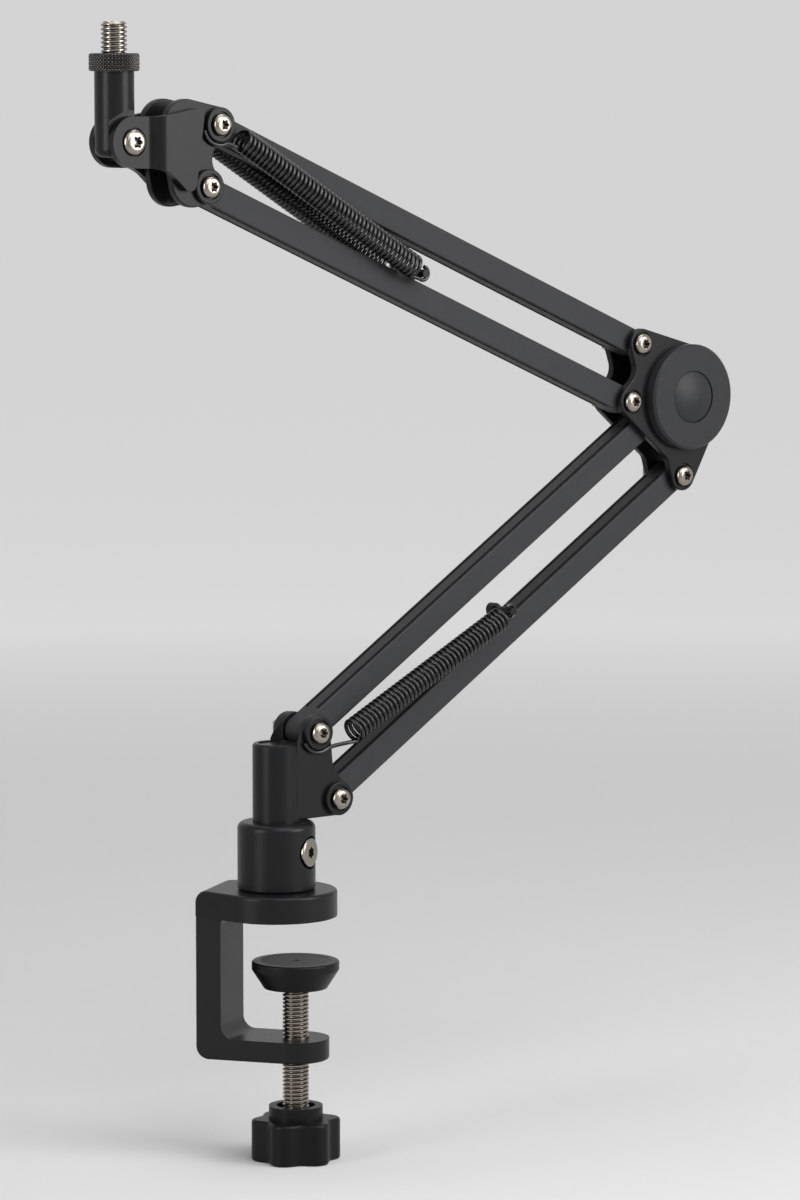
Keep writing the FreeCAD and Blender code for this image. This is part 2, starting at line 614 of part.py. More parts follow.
groove_floor = "(post_radius - groove_depth)"
set_screw = button_screw("SetScrew", set_screw_seat, "%s + groove_play" % groove_floor, "set_screw_radius",
                         "set_screw_head", "set_screw_height", "set_screw_round", "set_screw_socket")
outward = Rotation(Vector(0, 1, 0), 90)
keep(set_screw, "collar_set_screw",
     Placement(post_axis + Vector(0, 0, number(set_screw_level)), collar_turn.multiply(outward)))
thrust = turned("ThrustWasher", [
    ("collar_bolt_radius + 1", socket_floor), ("post_radius - 0.2", socket_floor),
    ("post_radius - 0.2", "%s + thrust_thick" % socket_floor),
    ("collar_bolt_radius + 1", "%s + thrust_thick" % socket_floor)])
keep(thrust, "thrust_washer", Placement(post_axis, STRAIGHT))

# Clamp screw: a pad that slides, and the screw and knob that turn in it.
pad_face = "(-pad_drop)"
pad_low = "(-pad_drop - pad_rim - pad_cone)"
pad_hole = "(screw_radius + running_fit)"
clamp_pad = turned("ClampPad", [
    (pad_hole, pad_low), ("pad_foot", pad_low), ("pad_radius", "%s - pad_rim" % pad_face),
    ("pad_radius - pad_edge", "%s - pad_edge" % pad_face, "pad_edge", 1), ("pad_seat_radius", pad_face),
    ("pad_seat_radius", "%s - pad_seat" % pad_face), ("0", "%s - pad_seat" % pad_face),
    ("0", "%s + pad_socket" % pad_low), (pad_hole, "%s + pad_socket" % pad_low)])
keep(clamp_pad, "clamp_pad")
pad_rubber = turned("PadFace", [
    ("pad_face_hole", "%s - pad_seat" % pad_face), ("pad_seat_radius - seat_fit", "%s - pad_seat" % pad_face),
    ("pad_seat_radius - seat_fit", "%s - pad_seat + pad_face_thick" % pad_face),
    ("pad_face_hole", "%s - pad_seat + pad_face_thick" % pad_face)])
keep(pad_rubber, "pad_rubber_face")
knob_top = "(%s - knob_gap)" % pad_low
grip_top = "(%s - knob_neck)" % knob_top
knob_low = "(%s - knob_height)" % grip_top
screw = turned("ClampScrew", [
    ("0", "%s + knob_floor" % knob_low), ("screw_radius", "%s + knob_floor" % knob_low),
    ("screw_radius", "%s + pad_socket - 0.8" % pad_low), ("screw_radius - 0.8", "%s + pad_socket" % pad_low),
    ("0", "%s + pad_socket" % pad_low)])
keep(screw, "clamp_screw")
knob = new_body("ClampKnob")
grip = new_sketch(knob, "XY_Plane", knob_low)
lobes = []
for lobe in range(KNOB_LOBES):
    turn = 360.0 / KNOB_LOBES * lobe
    valley = turn + 180.0 / KNOB_LOBES
    lobes.append(("(knob_radius - knob_lobe) * cos(%g)" % turn, "(knob_radius - knob_lobe) * sin(%g)" % turn,
                  "knob_lobe", 1))
    lobes.append(("knob_flute_out * cos(%g)" % valley, "knob_flute_out * sin(%g)" % valley, "knob_flute", -1))
draw_outline(grip, lobes)
feature(knob, "Pad", grip, "knob_height")
soften(knob, "knob_edge", on_level("z", number(knob_low), number(grip_top)))
neck = new_sketch(knob, "XY_Plane", grip_top)
draw_circle(neck, "0", "0", "knob_neck_radius")
feature(knob, "Pad", neck, "knob_neck")
cup = new_sketch(knob, "XY_Plane", knob_top)
draw_circle(cup, "0", "0", "knob_cup_radius")
feature(knob, "Pocket", cup, "knob_cup")
bore = new_sketch(knob, "XY_Plane", knob_top)
draw_circle(bore, "0", "0", "screw_radius + seat_fit")
feature(knob, "Pocket", bore, "knob_neck + knob_height - knob_floor")
knob_turn = Rotation(Vector(0, 0, 1), number("knob_yaw"))
keep(knob, "clamp_knob", Placement(Vector(), knob_turn))

# Post and base plates, which turn in the collar.
post_low = "(%s + thrust_thick)" % socket_floor
groove_half = "(set_screw_radius + groove_play)"
post = turned("Post", [
    ("0", post_low), ("post_radius", post_low), ("post_radius", "%s - %s" % (set_screw_level, groove_half)),
    (groove_floor, "%s - %s" % (set_screw_level, groove_half)),
    (groove_floor, "%s + %s" % (set_screw_level, groove_half)),
    ("post_radius", "%s + %s" % (set_screw_level, groove_half)),
    ("post_radius", "%s - post_rim" % post_top), ("post_radius - post_rim", post_top),
    ("post_recess_radius", post_top), ("post_recess_radius", "%s - post_recess" % post_top),
    ("0", "%s - post_recess" % post_top)])
keep(post, "post", Placement(post_axis, STRAIGHT))
post_cap = turned("PostCap", [
    ("0", "%s - post_recess" % post_top), ("post_recess_radius - seat_fit", "%s - post_recess" % post_top),
    ("post_recess_radius - seat_fit", "%s - post_recess + post_cap_thick" % post_top),
    ("0", "%s - post_recess + post_cap_thick" % post_top)])
keep(post_cap, "post_cap", Placement(post_axis, STRAIGHT))

base_floor = "(%s - lug_radius + base_corner)" % base_low[1]
base_plate = slab("BasePlate", [
    base_low + ("lug_radius", 1),
    ("%s + base_flare_out" % base_low[0], "%s + base_flare_up" % base_low[1], "base_flare", -1),
    base_high + ("lug_radius", 1),
    ("base_corner + 2", "%s - base_corner" % post_top, "base_corner", 1),
    ("base_corner + 2", base_floor, "base_corner", 1)],
    [base_low + (pivot_bore,), base_high + (pivot_bore,)], plate_inner, "plate_thick", "plate_edge")
cope = new_sketch(base_plate, "XY_Plane")
draw_circle(cope, "0", "0", "post_radius + weld_gap")
feature(base_plate, "Pocket", cope, TRIM, symmetric=True)
keep(base_plate, "base_front_plate", arm_frame)
mirrored(base_plate, "base_rear_plate")

# Pivot hardware, turned once and copied to each pivot. Local Z points out of the arm's front.
boss = ring("BossWasher", plate_outer, "boss_thick", "boss_radius", pivot_bore, "boss_edge", recessed=True)
long_screw = button_screw("LongPivotScrew", boss_seat, "-%s - nut_height - nut_gap" % boss_seat,
                          "pivot_radius", "pivot_head_radius", "pivot_head_height", "pivot_head_round",
                          "pivot_socket")
long_nut = hex_nut("LongPivotNut", boss_seat, "nut_height", "nut_corner", pivot_bore)
short_screw = button_screw("ShortPivotScrew", plate_seat, "-%s - nut_height - nut_gap" % plate_seat,
                           "pivot_radius", "pivot_head_radius", "pivot_head_height", "pivot_head_round",
                           "pivot_socket")
short_nut = hex_nut("ShortPivotNut", plate_seat, "nut_height", "nut_corner", pivot_bore)
bush_half = "(bar_depth / 2 + side_play / 2)"
close_bush = ring("CloseBush", "-" + bush_half, "2 * %s" % bush_half, "bush_radius",
                  "pivot_radius + running_fit", "0.1")
open_bush = ring("OpenBush", "-" + bush_half, "2 * %s" % bush_half, "bush_radius",
                 "pivot_radius + open_pivot_gap", "0.1")
base_pivots = (base_low_at, base_high_at)
head_pivots = (head_low_at, head_high_at)
elbow_pivots = (elbow_low_at, elbow_back_at, elbow_top_at)
for end, pivots in (("base", base_pivots), ("head", head_pivots)):
    group(end + "_pivot_screws", [(long_screw, in_arm(at, FRONT)) for at in pivots])
    group(end + "_pivot_nuts", [(long_nut, in_arm(at, REAR)) for at in pivots])
    group(end + "_boss_washers", [(boss, in_arm(at, way)) for at in pivots for way in (FRONT, REAR)])
group("elbow_pivot_screws", [(short_screw, in_arm(at, FRONT)) for at in elbow_pivots])
group("elbow_pivot_nuts", [(short_nut, in_arm(at, REAR)) for at in elbow_pivots])
hidden_pin = turned("HiddenPin", [
    ("0", "-%s" % plate_outer), ("pivot_radius", "-%s" % plate_outer), ("pivot_radius", plate_outer),
    ("0", plate_outer)])
keep(hidden_pin, "elbow_hidden_pin", in_arm(elbow_hidden_at, FRONT))


# Bars of the two arms, each along its own X axis from the base or head end, with their bushes.
def bar(label, length, at, turn, bushes):
    body = new_body(label)
    side = new_sketch(body, "XZ_Plane")
    draw_outline(side, [("0", "0", "bar_height / 2", 1), (length, "0", "bar_height / 2", 1)])
    for x in ("0", length):
        draw_circle(side, x, "0", "bush_radius + seat_fit")
    feature(body, "Pad", side, "bar_depth", symmetric=True)
    half = number("bar_depth / 2")
    soften(body, "bar_edge", outer_rim("y", -half, half))
    grooves = new_sketch(body, "YZ_Plane", "bar_slot_end")
    outer, inner = "bar_depth / 2 - bar_slot_lip", "bar_depth / 2 - bar_slot_lip - bar_slot"
    floor, above = "bar_height / 2 - bar_slot_depth", "bar_height / 2 + bar_edge"
    for left, right in ((inner, outer), ("-(%s)" % outer, "-(%s)" % inner)):
        for low, high in ((floor, above), ("-(%s)" % above, "-(%s)" % floor)):
            draw_outline(grooves, [(left, low), (right, low), (right, high), (left, high)])
    feature(body, "Pocket", grooves, "%s - 2 * bar_slot_end" % length, reversed_way=True)
    keep(body, label, in_arm(at, turn))
    reach = turn.multVec(Vector(number(length), 0, 0))
    ends = (at, at + reach)
    group(label + "_bushes", [(bush, in_arm(end, FRONT)) for bush, end in zip(bushes, ends)])


bar("lower_arm_lower_bar", "lower_arm_length", base_low_at, lower_slope, (close_bush, close_bush))
bar("lower_arm_upper_bar", "lower_arm_length", base_high_at, lower_slope, (close_bush, open_bush))
bar("upper_arm_lower_bar", "upper_arm_length", head_low_at, upper_slope, (close_bush, close_bush))
bar("upper_arm_upper_bar", "upper_arm_length", head_high_at, upper_slope, (open_bush, close_bush))

# Elbow: two lobed plates held apart by a spacer, a tie bolt through them and a cover on each side.
elbow_low = ("(-hub_lead)", "(-hub_rise)")
elbow_back = ("(-elbow_back)", "(-elbow_drop)")
elbow_top = ("(upper_link_lead - elbow_back)", "(upper_link_rise - elbow_drop)")
link_length = "sqrt(upper_link_lead * upper_link_lead + upper_link_rise * upper_link_rise)"
notch_reach = "(elbow_notch + 1) / %s" % link_length
elbow_notch = ("(upper_link_lead / 2 - elbow_back - upper_link_rise * %s)" % notch_reach,
               "(upper_link_rise / 2 - elbow_drop + upper_link_lead * %s)" % notch_reach)
elbow_bay = ("(%s - elbow_bay_back)" % elbow_low[0], "(%s + elbow_bay_up)" % elbow_low[1])
elbow_hidden = ("(%s - lower_link_lead)" % elbow_low[0], "(%s + lower_link_rise)" % elbow_low[1])
tie_bore = "tie_radius + seat_fit"
elbow_plate = slab("ElbowPlate", [
    ("0", "0", "hub_radius", 1), elbow_top + ("elbow_lug", 1), elbow_notch + ("elbow_notch", -1),
    elbow_back + ("elbow_lug", 1), elbow_bay + ("elbow_bay", -1), elbow_low + ("elbow_lug", 1)],
    [("0", "0", tie_bore)] + [at + (pivot_bore,) for at in (elbow_low, elbow_back, elbow_top, elbow_hidden)],
    plate_inner, "plate_thick", "plate_edge")
elbow_seats = new_sketch(elbow_plate, "XZ_Plane", plate_outer)
for x, z in (elbow_low, elbow_back, elbow_top):
    draw_circle(elbow_seats, x, z, "pivot_seat_radius")
feature(elbow_plate, "Pocket", elbow_seats, "pivot_seat")
keep(elbow_plate, "elbow_front_plate", in_arm(hub_at))
mirrored(elbow_plate, "elbow_rear_plate")
spacer = ring("HubSpacer", "-" + plate_inner, "2 * %s" % plate_inner, "spacer_radius", tie_bore, "0.1")
keep(spacer, "elbow_hub_spacer", in_arm(hub_at, FRONT))
tie_bolt = button_screw("TieBolt", plate_outer, "-%s - tie_head_height" % plate_outer, "tie_radius", "tie_head",
                        "tie_head_height", "0.5", "pivot_socket")
keep(tie_bolt, "elbow_tie_bolt", in_arm(hub_at, FRONT))
tie_nut = hex_nut("TieNut", plate_outer, "tie_head_height", "tie_head", tie_bore)
keep(tie_nut, "elbow_tie_nut", in_arm(hub_at, REAR))
cover_top = "(%s + cover_thick)" % plate_outer
cavity = "(%s + tie_head_height + 0.3)" % plate_outer
cover = turned("ElbowCover", [
    ("tie_head + 0.5", plate_outer), ("cover_radius", plate_outer), ("cover_radius", "%s - cover_edge" % cover_top),
    ("cover_radius - cover_edge", cover_top), ("cap_seat_radius", cover_top),
    ("cap_seat_radius", "%s - cap_seat" % cover_top), ("0", "%s - cap_seat" % cover_top),
    ("0", cavity), ("tie_head + 0.5", cavity)])
keep(cover, "elbow_front_cover", in_arm(hub_at, FRONT))
mirrored(cover, "elbow_rear_cover").Normal = arm_frame.Rotation.multVec(Vector(0, 1, 0))
cap_low = "(%s - cap_seat)" % cover_top
cap_rim = "cap_seat_radius - cap_gap"
cap = turned("ElbowCap", [
    ("0", cap_low), (cap_rim, cap_low), (cap_rim, "%s + cap_edge" % cap_low), ("dome",),
    ("0", "%s + cap_edge + cap_dome" % cap_low)])
keep(cap, "elbow_front_cap", in_arm(hub_at, FRONT))
mirrored(cap, "elbow_rear_cap").Normal = arm_frame.Rotation.multVec(Vector(0, 1, 0))

# Head: two plates on the upper arm's pivots, two cheeks that hold the stem, measured from the stem pivot.
head_high = ("eye_back", "eye_drop")
head_low = ("(eye_back - upper_link_lead)", "(eye_drop - upper_link_rise)")
head_reach = "(head_notch + 0.2) / %s" % link_length
head_notch = ("(eye_back - upper_link_lead / 2 + upper_link_rise * %s)" % head_reach,
              "(eye_drop - upper_link_rise / 2 - upper_link_lead * %s)" % head_reach)
head_plate = slab("HeadPlate", [
    head_low + ("lug_radius", 1), head_notch + ("head_notch", -1), head_high + ("lug_radius", 1),
    ("%s - head_crown_back" % head_high[0], "%s - head_crown_drop" % head_high[1], "head_crown", 1),
    ("%s - head_chin_back" % head_low[0], "%s + head_chin_rise" % head_low[1], "head_chin", 1)],
    [head_low + (pivot_bore,), head_high + (pivot_bore,)], plate_inner, "plate_thick", "plate_edge")
keep(head_plate, "head_front_plate", in_arm(eye_at))
mirrored(head_plate, "head_rear_plate")

cheek_inner = "(stem_tang / 2 + cheek_play)"
cheek_outer = "(%s + cheek_thick)" % cheek_inner
cheek = new_body("HeadCheek")
bend = new_sketch(cheek, "XY_Plane")
eye_end = "(-eye_radius - 5)"
cheek_top_x = "(eye_back - boss_radius - hook_gap - 2 * wire_radius - cheek_gap - cheek_corner)"
tail_end = "(%s + cheek_corner + 5)" % cheek_top_x
first_bend = ("joggle_start", "-%s - joggle_round" % cheek_outer)
second_bend = ("joggle_end", "joggle_round - %s" % plate_outer)
draw_outline(bend, [
    (eye_end, "-" + cheek_outer), first_bend + ("joggle_round", -1),
    second_bend + ("joggle_round + cheek_thick", 1), (tail_end, "-%s - cheek_thick" % plate_outer),
    (tail_end, "-" + plate_outer), second_bend + ("joggle_round", -1),
    first_bend + ("joggle_round + cheek_thick", 1), (eye_end, "-" + cheek_inner)])
feature(cheek, "Pad", bend, "6 * eye_radius", symmetric=True)
side_view = new_sketch(cheek, "XZ_Plane")
draw_outline(side_view, [("-" + TRIM, "-" + TRIM), (TRIM, "-" + TRIM), (TRIM, TRIM), ("-" + TRIM, TRIM)])
draw_outline(side_view, [
    ("0", "0", "eye_radius", 1),
    ("cheek_waist_x", "-cheek_waist_drop - cheek_waist_low", "cheek_waist_low", -1),
    ("cheek_low_x", "-cheek_low_z", "cheek_corner", 1), (cheek_top_x, "cheek_top_z", "cheek_corner", 1),
    ("cheek_waist_x", "cheek_waist_half + cheek_waist_top", "cheek_waist_top", -1)])
feature(cheek, "Pocket", side_view, symmetric=True)
eye_hole = new_sketch(cheek, "XZ_Plane")
draw_circle(eye_hole, "0", "0", "stem_pivot_radius + seat_fit")
feature(cheek, "Pocket", eye_hole, symmetric=True)
seat = new_sketch(cheek, "XZ_Plane", cheek_outer)
draw_circle(seat, "0", "0", "stem_head_radius + counterbore_gap")
feature(cheek, "Pocket", seat, "counterbore_depth")
keep(cheek, "head_front_cheek", in_arm(eye_at))
mirrored(cheek, "head_rear_cheek")

stem_seat = "(%s - counterbore_depth)" % cheek_outer
stem_screw = button_screw("StemScrew", stem_seat, "-%s - nut_height" % stem_seat, "stem_pivot_radius",
                          "stem_head_radius", "stem_head_height", "stem_head_round", "stem_socket")
keep(stem_screw, "stem_pivot_screw", in_arm(eye_at, FRONT))
stem_nut = hex_nut("StemNut", cheek_outer, "nut_height - counterbore_depth", "stem_nut_corner",
                   "stem_pivot_radius + seat_fit")
keep(stem_nut, "stem_pivot_nut", in_arm(eye_at, REAR))

stem = turned("MicStem", [
    ("0", "-stem_foot"), ("stem_radius - stem_round", "stem_round - stem_foot", "stem_round", 1),
    ("stem_radius", "stem_rise"), ("stud_neck + seat_fit", "stem_rise"),
    ("stud_neck + seat_fit", "stem_rise - stud_sunk"), ("0", "stem_rise - stud_sunk")])
tongue = new_sketch(stem, "XZ_Plane")
draw_circle(tongue, "stem_lead", "0", "stem_eye")
feature(stem, "Pad", tongue, "stem_tang", symmetric=True)
cross_hole = new_sketch(stem, "XZ_Plane")
draw_circle(cross_hole, "stem_lead", "0", "stem_pivot_radius + running_fit")
feature(stem, "Pocket", cross_hole, symmetric=True)
for level, depth in (("stem_radius + cheek_play", "stem_radius + cheek_play - stem_tang / 2"),
                     ("-stem_tang / 2", "stem_radius")):
    flank = new_sketch(stem, "XZ_Plane", level)
    draw_circle(flank, "stem_lead", "0", "eye_radius + tang_gap")
    feature(stem, "Pocket", flank, depth)
stem_at = eye_at - Vector(number("stem_lead"), 0, 0)
keep(stem, "mic_stem", in_arm(stem_at))
ring_top = "(stem_rise + ring_height)"
stud_top = "(%s + stud_clear)" % ring_top
stud = turned("MicStud", [
    ("0", "stem_rise - stud_sunk"), ("stud_neck", "stem_rise - stud_sunk"),
    ("stud_neck", ring_top), ("stud_radius", ring_top),
    ("stud_radius", "%s - stud_tip" % stud_top), ("stud_radius - stud_tip", stud_top), ("0", stud_top)])
keep(stud, "mic_stud", in_arm(stem_at))
lock_ring = turned("LockRing", [
    ("stud_radius + running_fit", "stem_rise"), ("ring_radius - ring_edge", "stem_rise"),
    ("ring_radius", "stem_rise + ring_edge"), ("ring_radius", "%s - ring_edge" % ring_top),
    ("ring_radius - ring_edge", ring_top), ("stud_radius + running_fit", ring_top)])
keep(lock_ring, "lock_ring", in_arm(stem_at))


# Spring anchors: a tab on each lower bar with a pin across it. Local axes are the bar's.
def anchor(arm, along, rise, at, turn, rear_end):
    height = "(bar_height / 2 + %s)" % rise
    tab = new_body(arm + "SpringTab")
    side = new_sketch(tab, "XZ_Plane")
    draw_outline(side, [
        ("%s - anchor_tab_foot" % along, "bar_height / 2"), ("%s + anchor_tab_foot" % along, "bar_height / 2"),
        (along, height, "anchor_tab_round", 1)])
    draw_circle(side, along, height, "anchor_radius + seat_fit")
    feature(tab, "Pad", side, "anchor_tab", symmetric=True)
    keep(tab, arm + "_spring_tab", in_arm(at, turn))
    pin_at = at + turn.multVec(Vector(number(along), 0, number(height)))
    pin = turned(arm + "SpringPin", [
        ("0", rear_end), ("anchor_radius", rear_end), ("anchor_radius", "spring_offset + anchor_end"),
        ("0", "spring_offset + anchor_end")])
    keep(pin, arm + "_spring_pin", in_arm(pin_at, FRONT))
    return pin_at


lower_pin_at = anchor("lower", "lower_anchor_along", "lower_anchor_rise", base_low_at, lower_slope,
                      "(-anchor_tab / 2)")
upper_pin_at = anchor("upper", "upper_anchor_along", "upper_anchor_rise", head_low_at, upper_slope,
                      "(-spring_offset - anchor_end)")


# Springs: one unbroken wire each, hooked round a boss washer and over an anchor pin.
def arc_between(start, heading, end):
    """Return the arc, or the straight line, that leaves a point along a heading and ends at another."""
    chord = end - start
    sideways = chord - heading * chord.dot(heading)
    if sideways.Length < 1e-7:
        return Part.LineSegment(start, end).toShape()
    radius = chord.dot(chord) / (2 * sideways.Length)
    centre = start + sideways.normalize() * radius
    middle = (start - centre) + (end - centre)
    return Part.Arc(start, centre + middle.normalize() * radius, end).toShape()


def biarc(start, heading, end, leaving):
    """Join two knots by two tangent arcs of equal tangent length."""
    span = end - start
    curve = 2 * (heading.dot(leaving) - 1)
    linear = -2 * span.dot(heading + leaving)
    if abs(curve) < 1e-9:
        reach = -span.dot(span) / linear
    else:
        root = math.sqrt(linear * linear - 4 * curve * span.dot(span))
        reach = (-linear - root) / (2 * curve)
    middle = (start + heading * reach + end - leaving * reach) * 0.5
    back = arc_between(end, leaving * -1, middle)
    back.reverse()
    return [arc_between(start, heading, middle), back]


def spring_knots(turns, hook_at, first_at, pin_at, side):
    """List the wire's knots (point, heading) from the hook round the washer to the loop on the pin.

    The coil is a helix: at turn t its wire lies at first + axis * pitch * t + radius *
    (cos(2 pi t) * up + sin(2 pi t) * out).
    """
    radius = number("spring_radius")
    depth = Vector(0, -side * number("spring_offset"), 0)
    hook_depth = Vector(0, -side * (number(plate_outer) + number("boss_thick") / 2), 0)
    wire = number("wire_radius + hook_gap")
    axis = (pin_at - first_at).normalize()
    up = Vector(-axis.z, 0, axis.x)
    out = Vector(0, -side, 0)
    length = (pin_at - first_at).Length - number("spring_tail")
    pitch = length / turns
    knots = []
    hook = number("boss_radius") + wire
    towards = first_at - hook_at
    touch = math.atan2(towards.z, towards.x) - math.acos(hook / towards.Length)
    for angle in (touch - math.pi / 2, touch):
        spoke = Vector(math.cos(angle), 0, math.sin(angle))
        knots.append((hook_at + hook_depth + spoke * hook, Vector(-spoke.z, 0, spoke.x)))
    for half in range(int(2 * turns) + 1):
        angle = math.pi * (half + 1)
        place = up * math.cos(angle) + out * math.sin(angle)
        along = (out * math.cos(angle) - up * math.sin(angle)) * (2 * math.pi * radius)
        heading = (along + axis * pitch).normalize()
        knots.append((first_at + depth + axis * (pitch * half / 2) + place * radius, heading))
    loop = number("anchor_radius") + wire
    for spoke, heading in ((up * -1, axis), (axis, up), (up, axis * -1)):
        knots.append((pin_at + depth + spoke * loop, Vector(heading)))
    return knots


def least_gap(path, wire):
    """Measure the least clear gap between parts of the wire that are over half a turn apart."""
    step = 2 * wire
    points = []
    for edge in path:
        count = max(2, int(edge.Length / step) + 1)
        points.extend(edge.discretize(count)[:-1])
    apart = int(math.pi * number("spring_radius") / step)
    least = min((points[i] - points[j]).Length
                for i in range(len(points)) for j in range(i + apart, min(len(points), i + 8 * apart)))
    return least - 2 * wire


def spring(label, turns, hook_at, first_at, pin_at, side):
    knots = spring_knots(number(turns), hook_at, first_at, pin_at, side)
    path = []
    for (start, heading), (end, leaving) in zip(knots, knots[1:]):
        path.extend(biarc(start, heading, end, leaving))
    wire = number("wire_radius")
    section = Part.Wire(Part.Circle(knots[0][0], knots[0][1], wire).toShape())
    shape = Part.Wire(path).makePipeShell([section], True, False)
    made = doc.addObject("Part::Feature", label)
    made.Shape = shape
    length = sum(edge.Length for edge in path)
    gap = least_gap(path, wire)
    print("%s: wire %.1f mm, volume share %.4f, least gap %.2f mm"
          % (label, length, shape.Volume / (math.pi * wire * wire * length), gap))
    keep(made, label, arm_frame)


lower_first = base_high_at + Vector(number("lower_spring_lead"), 0, -number("lower_spring_drop"))
upper_first = head_high_at + Vector(number("upper_spring_lead"), 0, -number("upper_spring_drop"))
spring("lower_spring", "lower_spring_turns", base_high_at, lower_first, lower_pin_at, 1)
spring("upper_front_spring", "upper_spring_turns", head_high_at, upper_first, upper_pin_at, 1)
spring("upper_rear_spring", "upper_spring_turns", head_high_at, upper_first, upper_pin_at, -1)

doc.recompute()

faults = [thing.Name for thing in doc.Objects if {"Invalid", "Error"} & set(thing.State)]
faults += [label for label, thing in nodes.items() if thing.Shape.isNull() or not thing.Shape.isValid()]
if faults:
    raise RuntimeError("failed: " + ", ".join(faults))
os.makedirs("parts", exist_ok=True)
for label, thing in nodes.items():
    thing.Shape.exportStep("parts/%s.step" % label)
print(len(nodes), "nodes,", sum(len(thing.Shape.Solids) for thing in nodes.values()), "solids")
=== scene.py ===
"""Desk microphone boom arm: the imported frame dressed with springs, threads, a knurl and finishes."""
import json
import math

import bmesh
import bpy
import numpy as np
from bpy.props import FloatProperty, FloatVectorProperty, IntProperty, PointerProperty
from mathutils import Matrix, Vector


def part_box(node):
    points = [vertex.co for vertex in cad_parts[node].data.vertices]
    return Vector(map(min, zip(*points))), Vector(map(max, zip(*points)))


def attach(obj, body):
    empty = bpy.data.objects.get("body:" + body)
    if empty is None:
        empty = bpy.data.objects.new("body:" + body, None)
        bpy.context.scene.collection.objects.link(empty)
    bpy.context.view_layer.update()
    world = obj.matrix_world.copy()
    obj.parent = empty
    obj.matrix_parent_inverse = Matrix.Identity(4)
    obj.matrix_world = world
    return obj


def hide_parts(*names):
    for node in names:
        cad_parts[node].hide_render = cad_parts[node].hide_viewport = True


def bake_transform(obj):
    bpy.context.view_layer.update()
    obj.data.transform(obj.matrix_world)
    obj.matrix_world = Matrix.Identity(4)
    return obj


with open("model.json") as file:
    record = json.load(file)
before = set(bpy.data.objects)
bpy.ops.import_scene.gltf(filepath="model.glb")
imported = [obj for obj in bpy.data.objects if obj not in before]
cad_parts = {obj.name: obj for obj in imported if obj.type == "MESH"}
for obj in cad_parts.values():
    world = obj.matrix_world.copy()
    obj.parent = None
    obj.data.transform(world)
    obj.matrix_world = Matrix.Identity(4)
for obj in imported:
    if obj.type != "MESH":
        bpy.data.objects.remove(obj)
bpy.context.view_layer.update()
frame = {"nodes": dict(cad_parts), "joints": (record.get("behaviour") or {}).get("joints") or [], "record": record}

bl_info = {
    "name": "Microphone Boom Arm",
    "version": (1, 0, 0),
    "blender": (4, 5, 0),
    "location": "3D View > Sidebar > Boom Arm",
    "description": "Dresses a spring-assisted microphone boom arm and sets it in a studio",
    "category": "Object",
}

MM = 0.001
NODES = frame["nodes"]
JOINTS = {joint["name"]: joint for joint in frame["joints"]}
SLOTS = {part["node"]: part["material_slot"] for part in frame["record"]["subparts"]}


def vector(values):
    """Turn numbers into an array."""
    return np.array(values, dtype=float)


def unit(values):
    """Scale a direction to a length of 1."""
    return vector(values) / np.linalg.norm(values)


# The arm plane: ALONG and UP lie in it, FRONT points out of the side that the camera sees.
UP = vector((0, 0, 1))
FRONT = unit(JOINTS["lower_arm_pitch"]["axis"])
ALONG = np.cross(UP, FRONT)


def linear(hex_text):
    """Turn an sRGB hex colour into linear red, green and blue."""
    share = vector([int(hex_text[place:place + 2], 16) / 255 for place in (1, 3, 5)])
    return tuple(np.where(share <= 0.04045, share / 12.92, ((share + 0.055) / 1.055) ** 2.4))


def length(name, millimetres, description):
    """Make a length's property, kept in metres, from its size in millimetres."""
    return FloatProperty(name=name, description=description, default=millimetres * MM, unit="LENGTH",
                         precision=5)


def colour(name, hex_text, description):
    """Make a colour's property from its sRGB hex value."""
    return FloatVectorProperty(name=name, description=description, default=linear(hex_text), size=3,
                               min=0, max=1, subtype="COLOR")


def power(name, watts, description):
    """Make a lamp's property in watts."""
    return FloatProperty(name=name, description=description + ", in watts", default=watts)


class BoomSpringSizes(bpy.types.PropertyGroup):
    """Sizes of the three tension springs."""
    lower_turns: IntProperty(name="Lower turns", description="Turns of the lower coil", default=40, min=33)
    upper_turns: IntProperty(name="Upper turns", description="Turns of each upper coil", default=45, min=33)
    wire: length("Wire radius", 0.8, "Half the wire's thickness")
    coil: length("Coil radius", 3.9, "Coil axis to the middle of the wire")
    offset: length("Offset", 10.0, "Coil axis to the arm plane")
    tail: length("Tail", 5.0, "Last turn to the anchor pin")
    hook: length("Hook radius", 7.4, "Washer centre to the middle of the hooked wire")
    hook_offset: length("Hook offset", 9.25, "Hook to the arm plane")
    loop: length("Loop radius", 2.5, "Pin centre to the middle of the looped wire")
    lower_lead: length("Lower lead", 15.6, "First lower turn ahead of the base's upper pivot")
    lower_drop: length("Lower drop", 0.5, "First lower turn below the base's upper pivot")
    upper_lead: length("Upper lead", 9.0, "First upper turn ahead of the head's upper pivot")
    upper_drop: length("Upper drop", 5.2, "First upper turn below the head's upper pivot")
    bend_share: FloatProperty(name="Bend share", default=0.15, subtype="FACTOR",
                              description="Share of the coil that gives way with the hook as the arm tilts")


class BoomThreadSizes(bpy.types.PropertyGroup):
    """Sizes of the two threads and of the lock ring's knurl."""
    stud_pitch: length("Stud pitch", 25.4 / 16, "Three-eighths inch stud, 16 threads per inch")
    stud_neck: length("Stud neck", 4.5, "Stud radius below its thread")
    screw_pitch: length("Screw pitch", 1.5, "M10 clamp screw")
    lead: length("Lead chamfer", 0.9, "Chamfer at a thread's end")
    knurl_count: IntProperty(name="Knurls", description="Knurl diamonds round the lock ring", default=44)
    knurl_depth: length("Knurl depth", 0.6, "Depth of the knurl's grooves")
    ring_chamfer: length("Ring chamfer", 0.7, "Chamfer of the lock ring's rims")
    ring_bore: length("Ring bore", 4.8, "Lock ring's bore radius")
    ring_seat: length("Ring seat", 0.03, "Lock ring's lower face above the stem")


